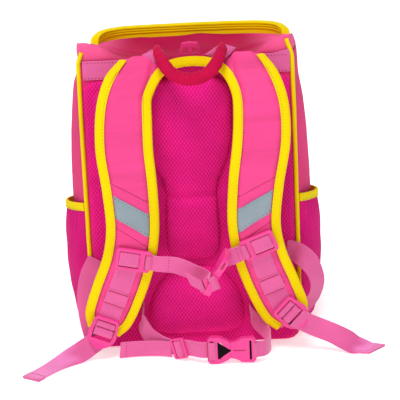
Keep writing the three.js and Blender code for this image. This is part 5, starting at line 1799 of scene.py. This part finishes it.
def paper_floor(colour):
    """Seamless paper: a floor that curves up behind the bag."""
    profile = [(-FLOOR_REACH, 0.0)]
    for a in np.linspace(0, math.pi / 2, 13):
        profile.append((FLOOR_BACK + FLOOR_CURVE * math.sin(a), FLOOR_CURVE * (1 - math.cos(a))))
    profile.append((FLOOR_BACK + FLOOR_CURVE, FLOOR_TOP))
    points = [(x * 1000, y * 1000 + BASE_MIDDLE_Y, z * 1000)
              for y, z in profile for x in (-FLOOR_REACH, FLOOR_REACH)]
    faces = [(2 * i, 2 * i + 1, 2 * i + 3, 2 * i + 2) for i in range(len(profile) - 1)]
    floor = object_of("studio_floor", points, faces)
    floor.data.shade_smooth()
    # The paper is lit from behind: matt and even, so that only the bag's own soft shadow shows on it.
    paper, _, _ = surface("seamless_paper_matt", Base_Color=colour, Roughness=0.95, Specular_IOR_Level=0.1,
                          Emission_Color=(1, 1, 1, 1), Emission_Strength=PAPER_GLOW)
    floor.data.materials.append(paper)
    return floor


def studio_camera():
    """A long lens that looks down at the bag's back, rolled a little as in the photo."""
    back = Vector((0, -math.cos(CAMERA_RISE), math.sin(CAMERA_RISE)))
    level = Vector((0, math.sin(CAMERA_RISE), math.cos(CAMERA_RISE)))
    right = math.cos(CAMERA_ROLL) * Vector((1, 0, 0)) - math.sin(CAMERA_ROLL) * level
    up = math.sin(CAMERA_ROLL) * Vector((1, 0, 0)) + math.cos(CAMERA_ROLL) * level
    camera = bpy.data.cameras.new("camera")
    camera.lens = CAMERA_LENS
    camera.sensor_width = CAMERA_SENSOR
    eye = bpy.data.objects.new("camera", camera)
    turn = Matrix((right, up, back)).transposed().to_4x4()
    eye.matrix_world = Matrix.Translation(CAMERA_TARGET + back * CAMERA_DISTANCE) @ turn
    bpy.context.scene.collection.objects.link(eye)
    return eye


class BACKPACK_OT_stage(bpy.types.Operator):
    """Sets the pale floor, the soft studio light and the camera"""
    bl_idname = "backpack.stage"
    bl_label = "Studio"

    def execute(self, context):
        scene = context.scene
        floor = paper_floor(scene.backpack_colours.floor)
        world = bpy.data.worlds.new("studio")
        scene.world = world
        world.use_nodes = True
        sky = world.node_tree.nodes["Background"]
        sky.inputs["Color"].default_value = (1, 1, 1, 1)
        sky.inputs["Strength"].default_value = SKY_STRENGTH
        for name, (place, target, size, power) in LAMPS.items():
            lamp(name, place, target, size, power)
        scene.view_settings.view_transform = "Standard"
        scene.camera = studio_camera()
        return {"FINISHED"}


OPERATORS = [
    BACKPACK_OT_finishes, BACKPACK_OT_shell, BACKPACK_OT_lid, BACKPACK_OT_zip, BACKPACK_OT_back,
    BACKPACK_OT_sides, BACKPACK_OT_straps, BACKPACK_OT_handle, BACKPACK_OT_hardware, BACKPACK_OT_webbing,
    BACKPACK_OT_stage,
]


class BACKPACK_PT_panel(bpy.types.Panel):
    """Steps, colours and sizes of the backpack"""
    bl_idname = "BACKPACK_PT_panel"
    bl_label = "Backpack"
    bl_space_type = "VIEW_3D"
    bl_region_type = "UI"
    bl_category = "Backpack"

    def draw(self, context):
        column = self.layout.column(align=True)
        for operator in OPERATORS:
            column.operator(operator.bl_idname)
        for group in (context.scene.backpack_colours, context.scene.backpack_sizes):
            column.separator()
            for name in group.__annotations__:
                column.prop(group, name)


CLASSES = [BackpackColours, BackpackSizes, *OPERATORS, BACKPACK_PT_panel]


def register():
    for made in CLASSES:
        bpy.utils.register_class(made)
    bpy.types.Scene.backpack_colours = PointerProperty(type=BackpackColours)
    bpy.types.Scene.backpack_sizes = PointerProperty(type=BackpackSizes)


def unregister():
    del bpy.types.Scene.backpack_sizes
    del bpy.types.Scene.backpack_colours
    for made in reversed(CLASSES):
        bpy.utils.unregister_class(made)


def main():
    register()
    bpy.ops.backpack.finishes()
    bpy.ops.backpack.shell()
    bpy.ops.backpack.lid()
    bpy.ops.backpack.zip()
    bpy.ops.backpack.back()
    bpy.ops.backpack.sides()
    bpy.ops.backpack.straps()
    bpy.ops.backpack.handle()
    bpy.ops.backpack.hardware()
    bpy.ops.backpack.webbing()
    bpy.ops.backpack.stage()
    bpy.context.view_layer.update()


if __name__ == "__main__":
    main()
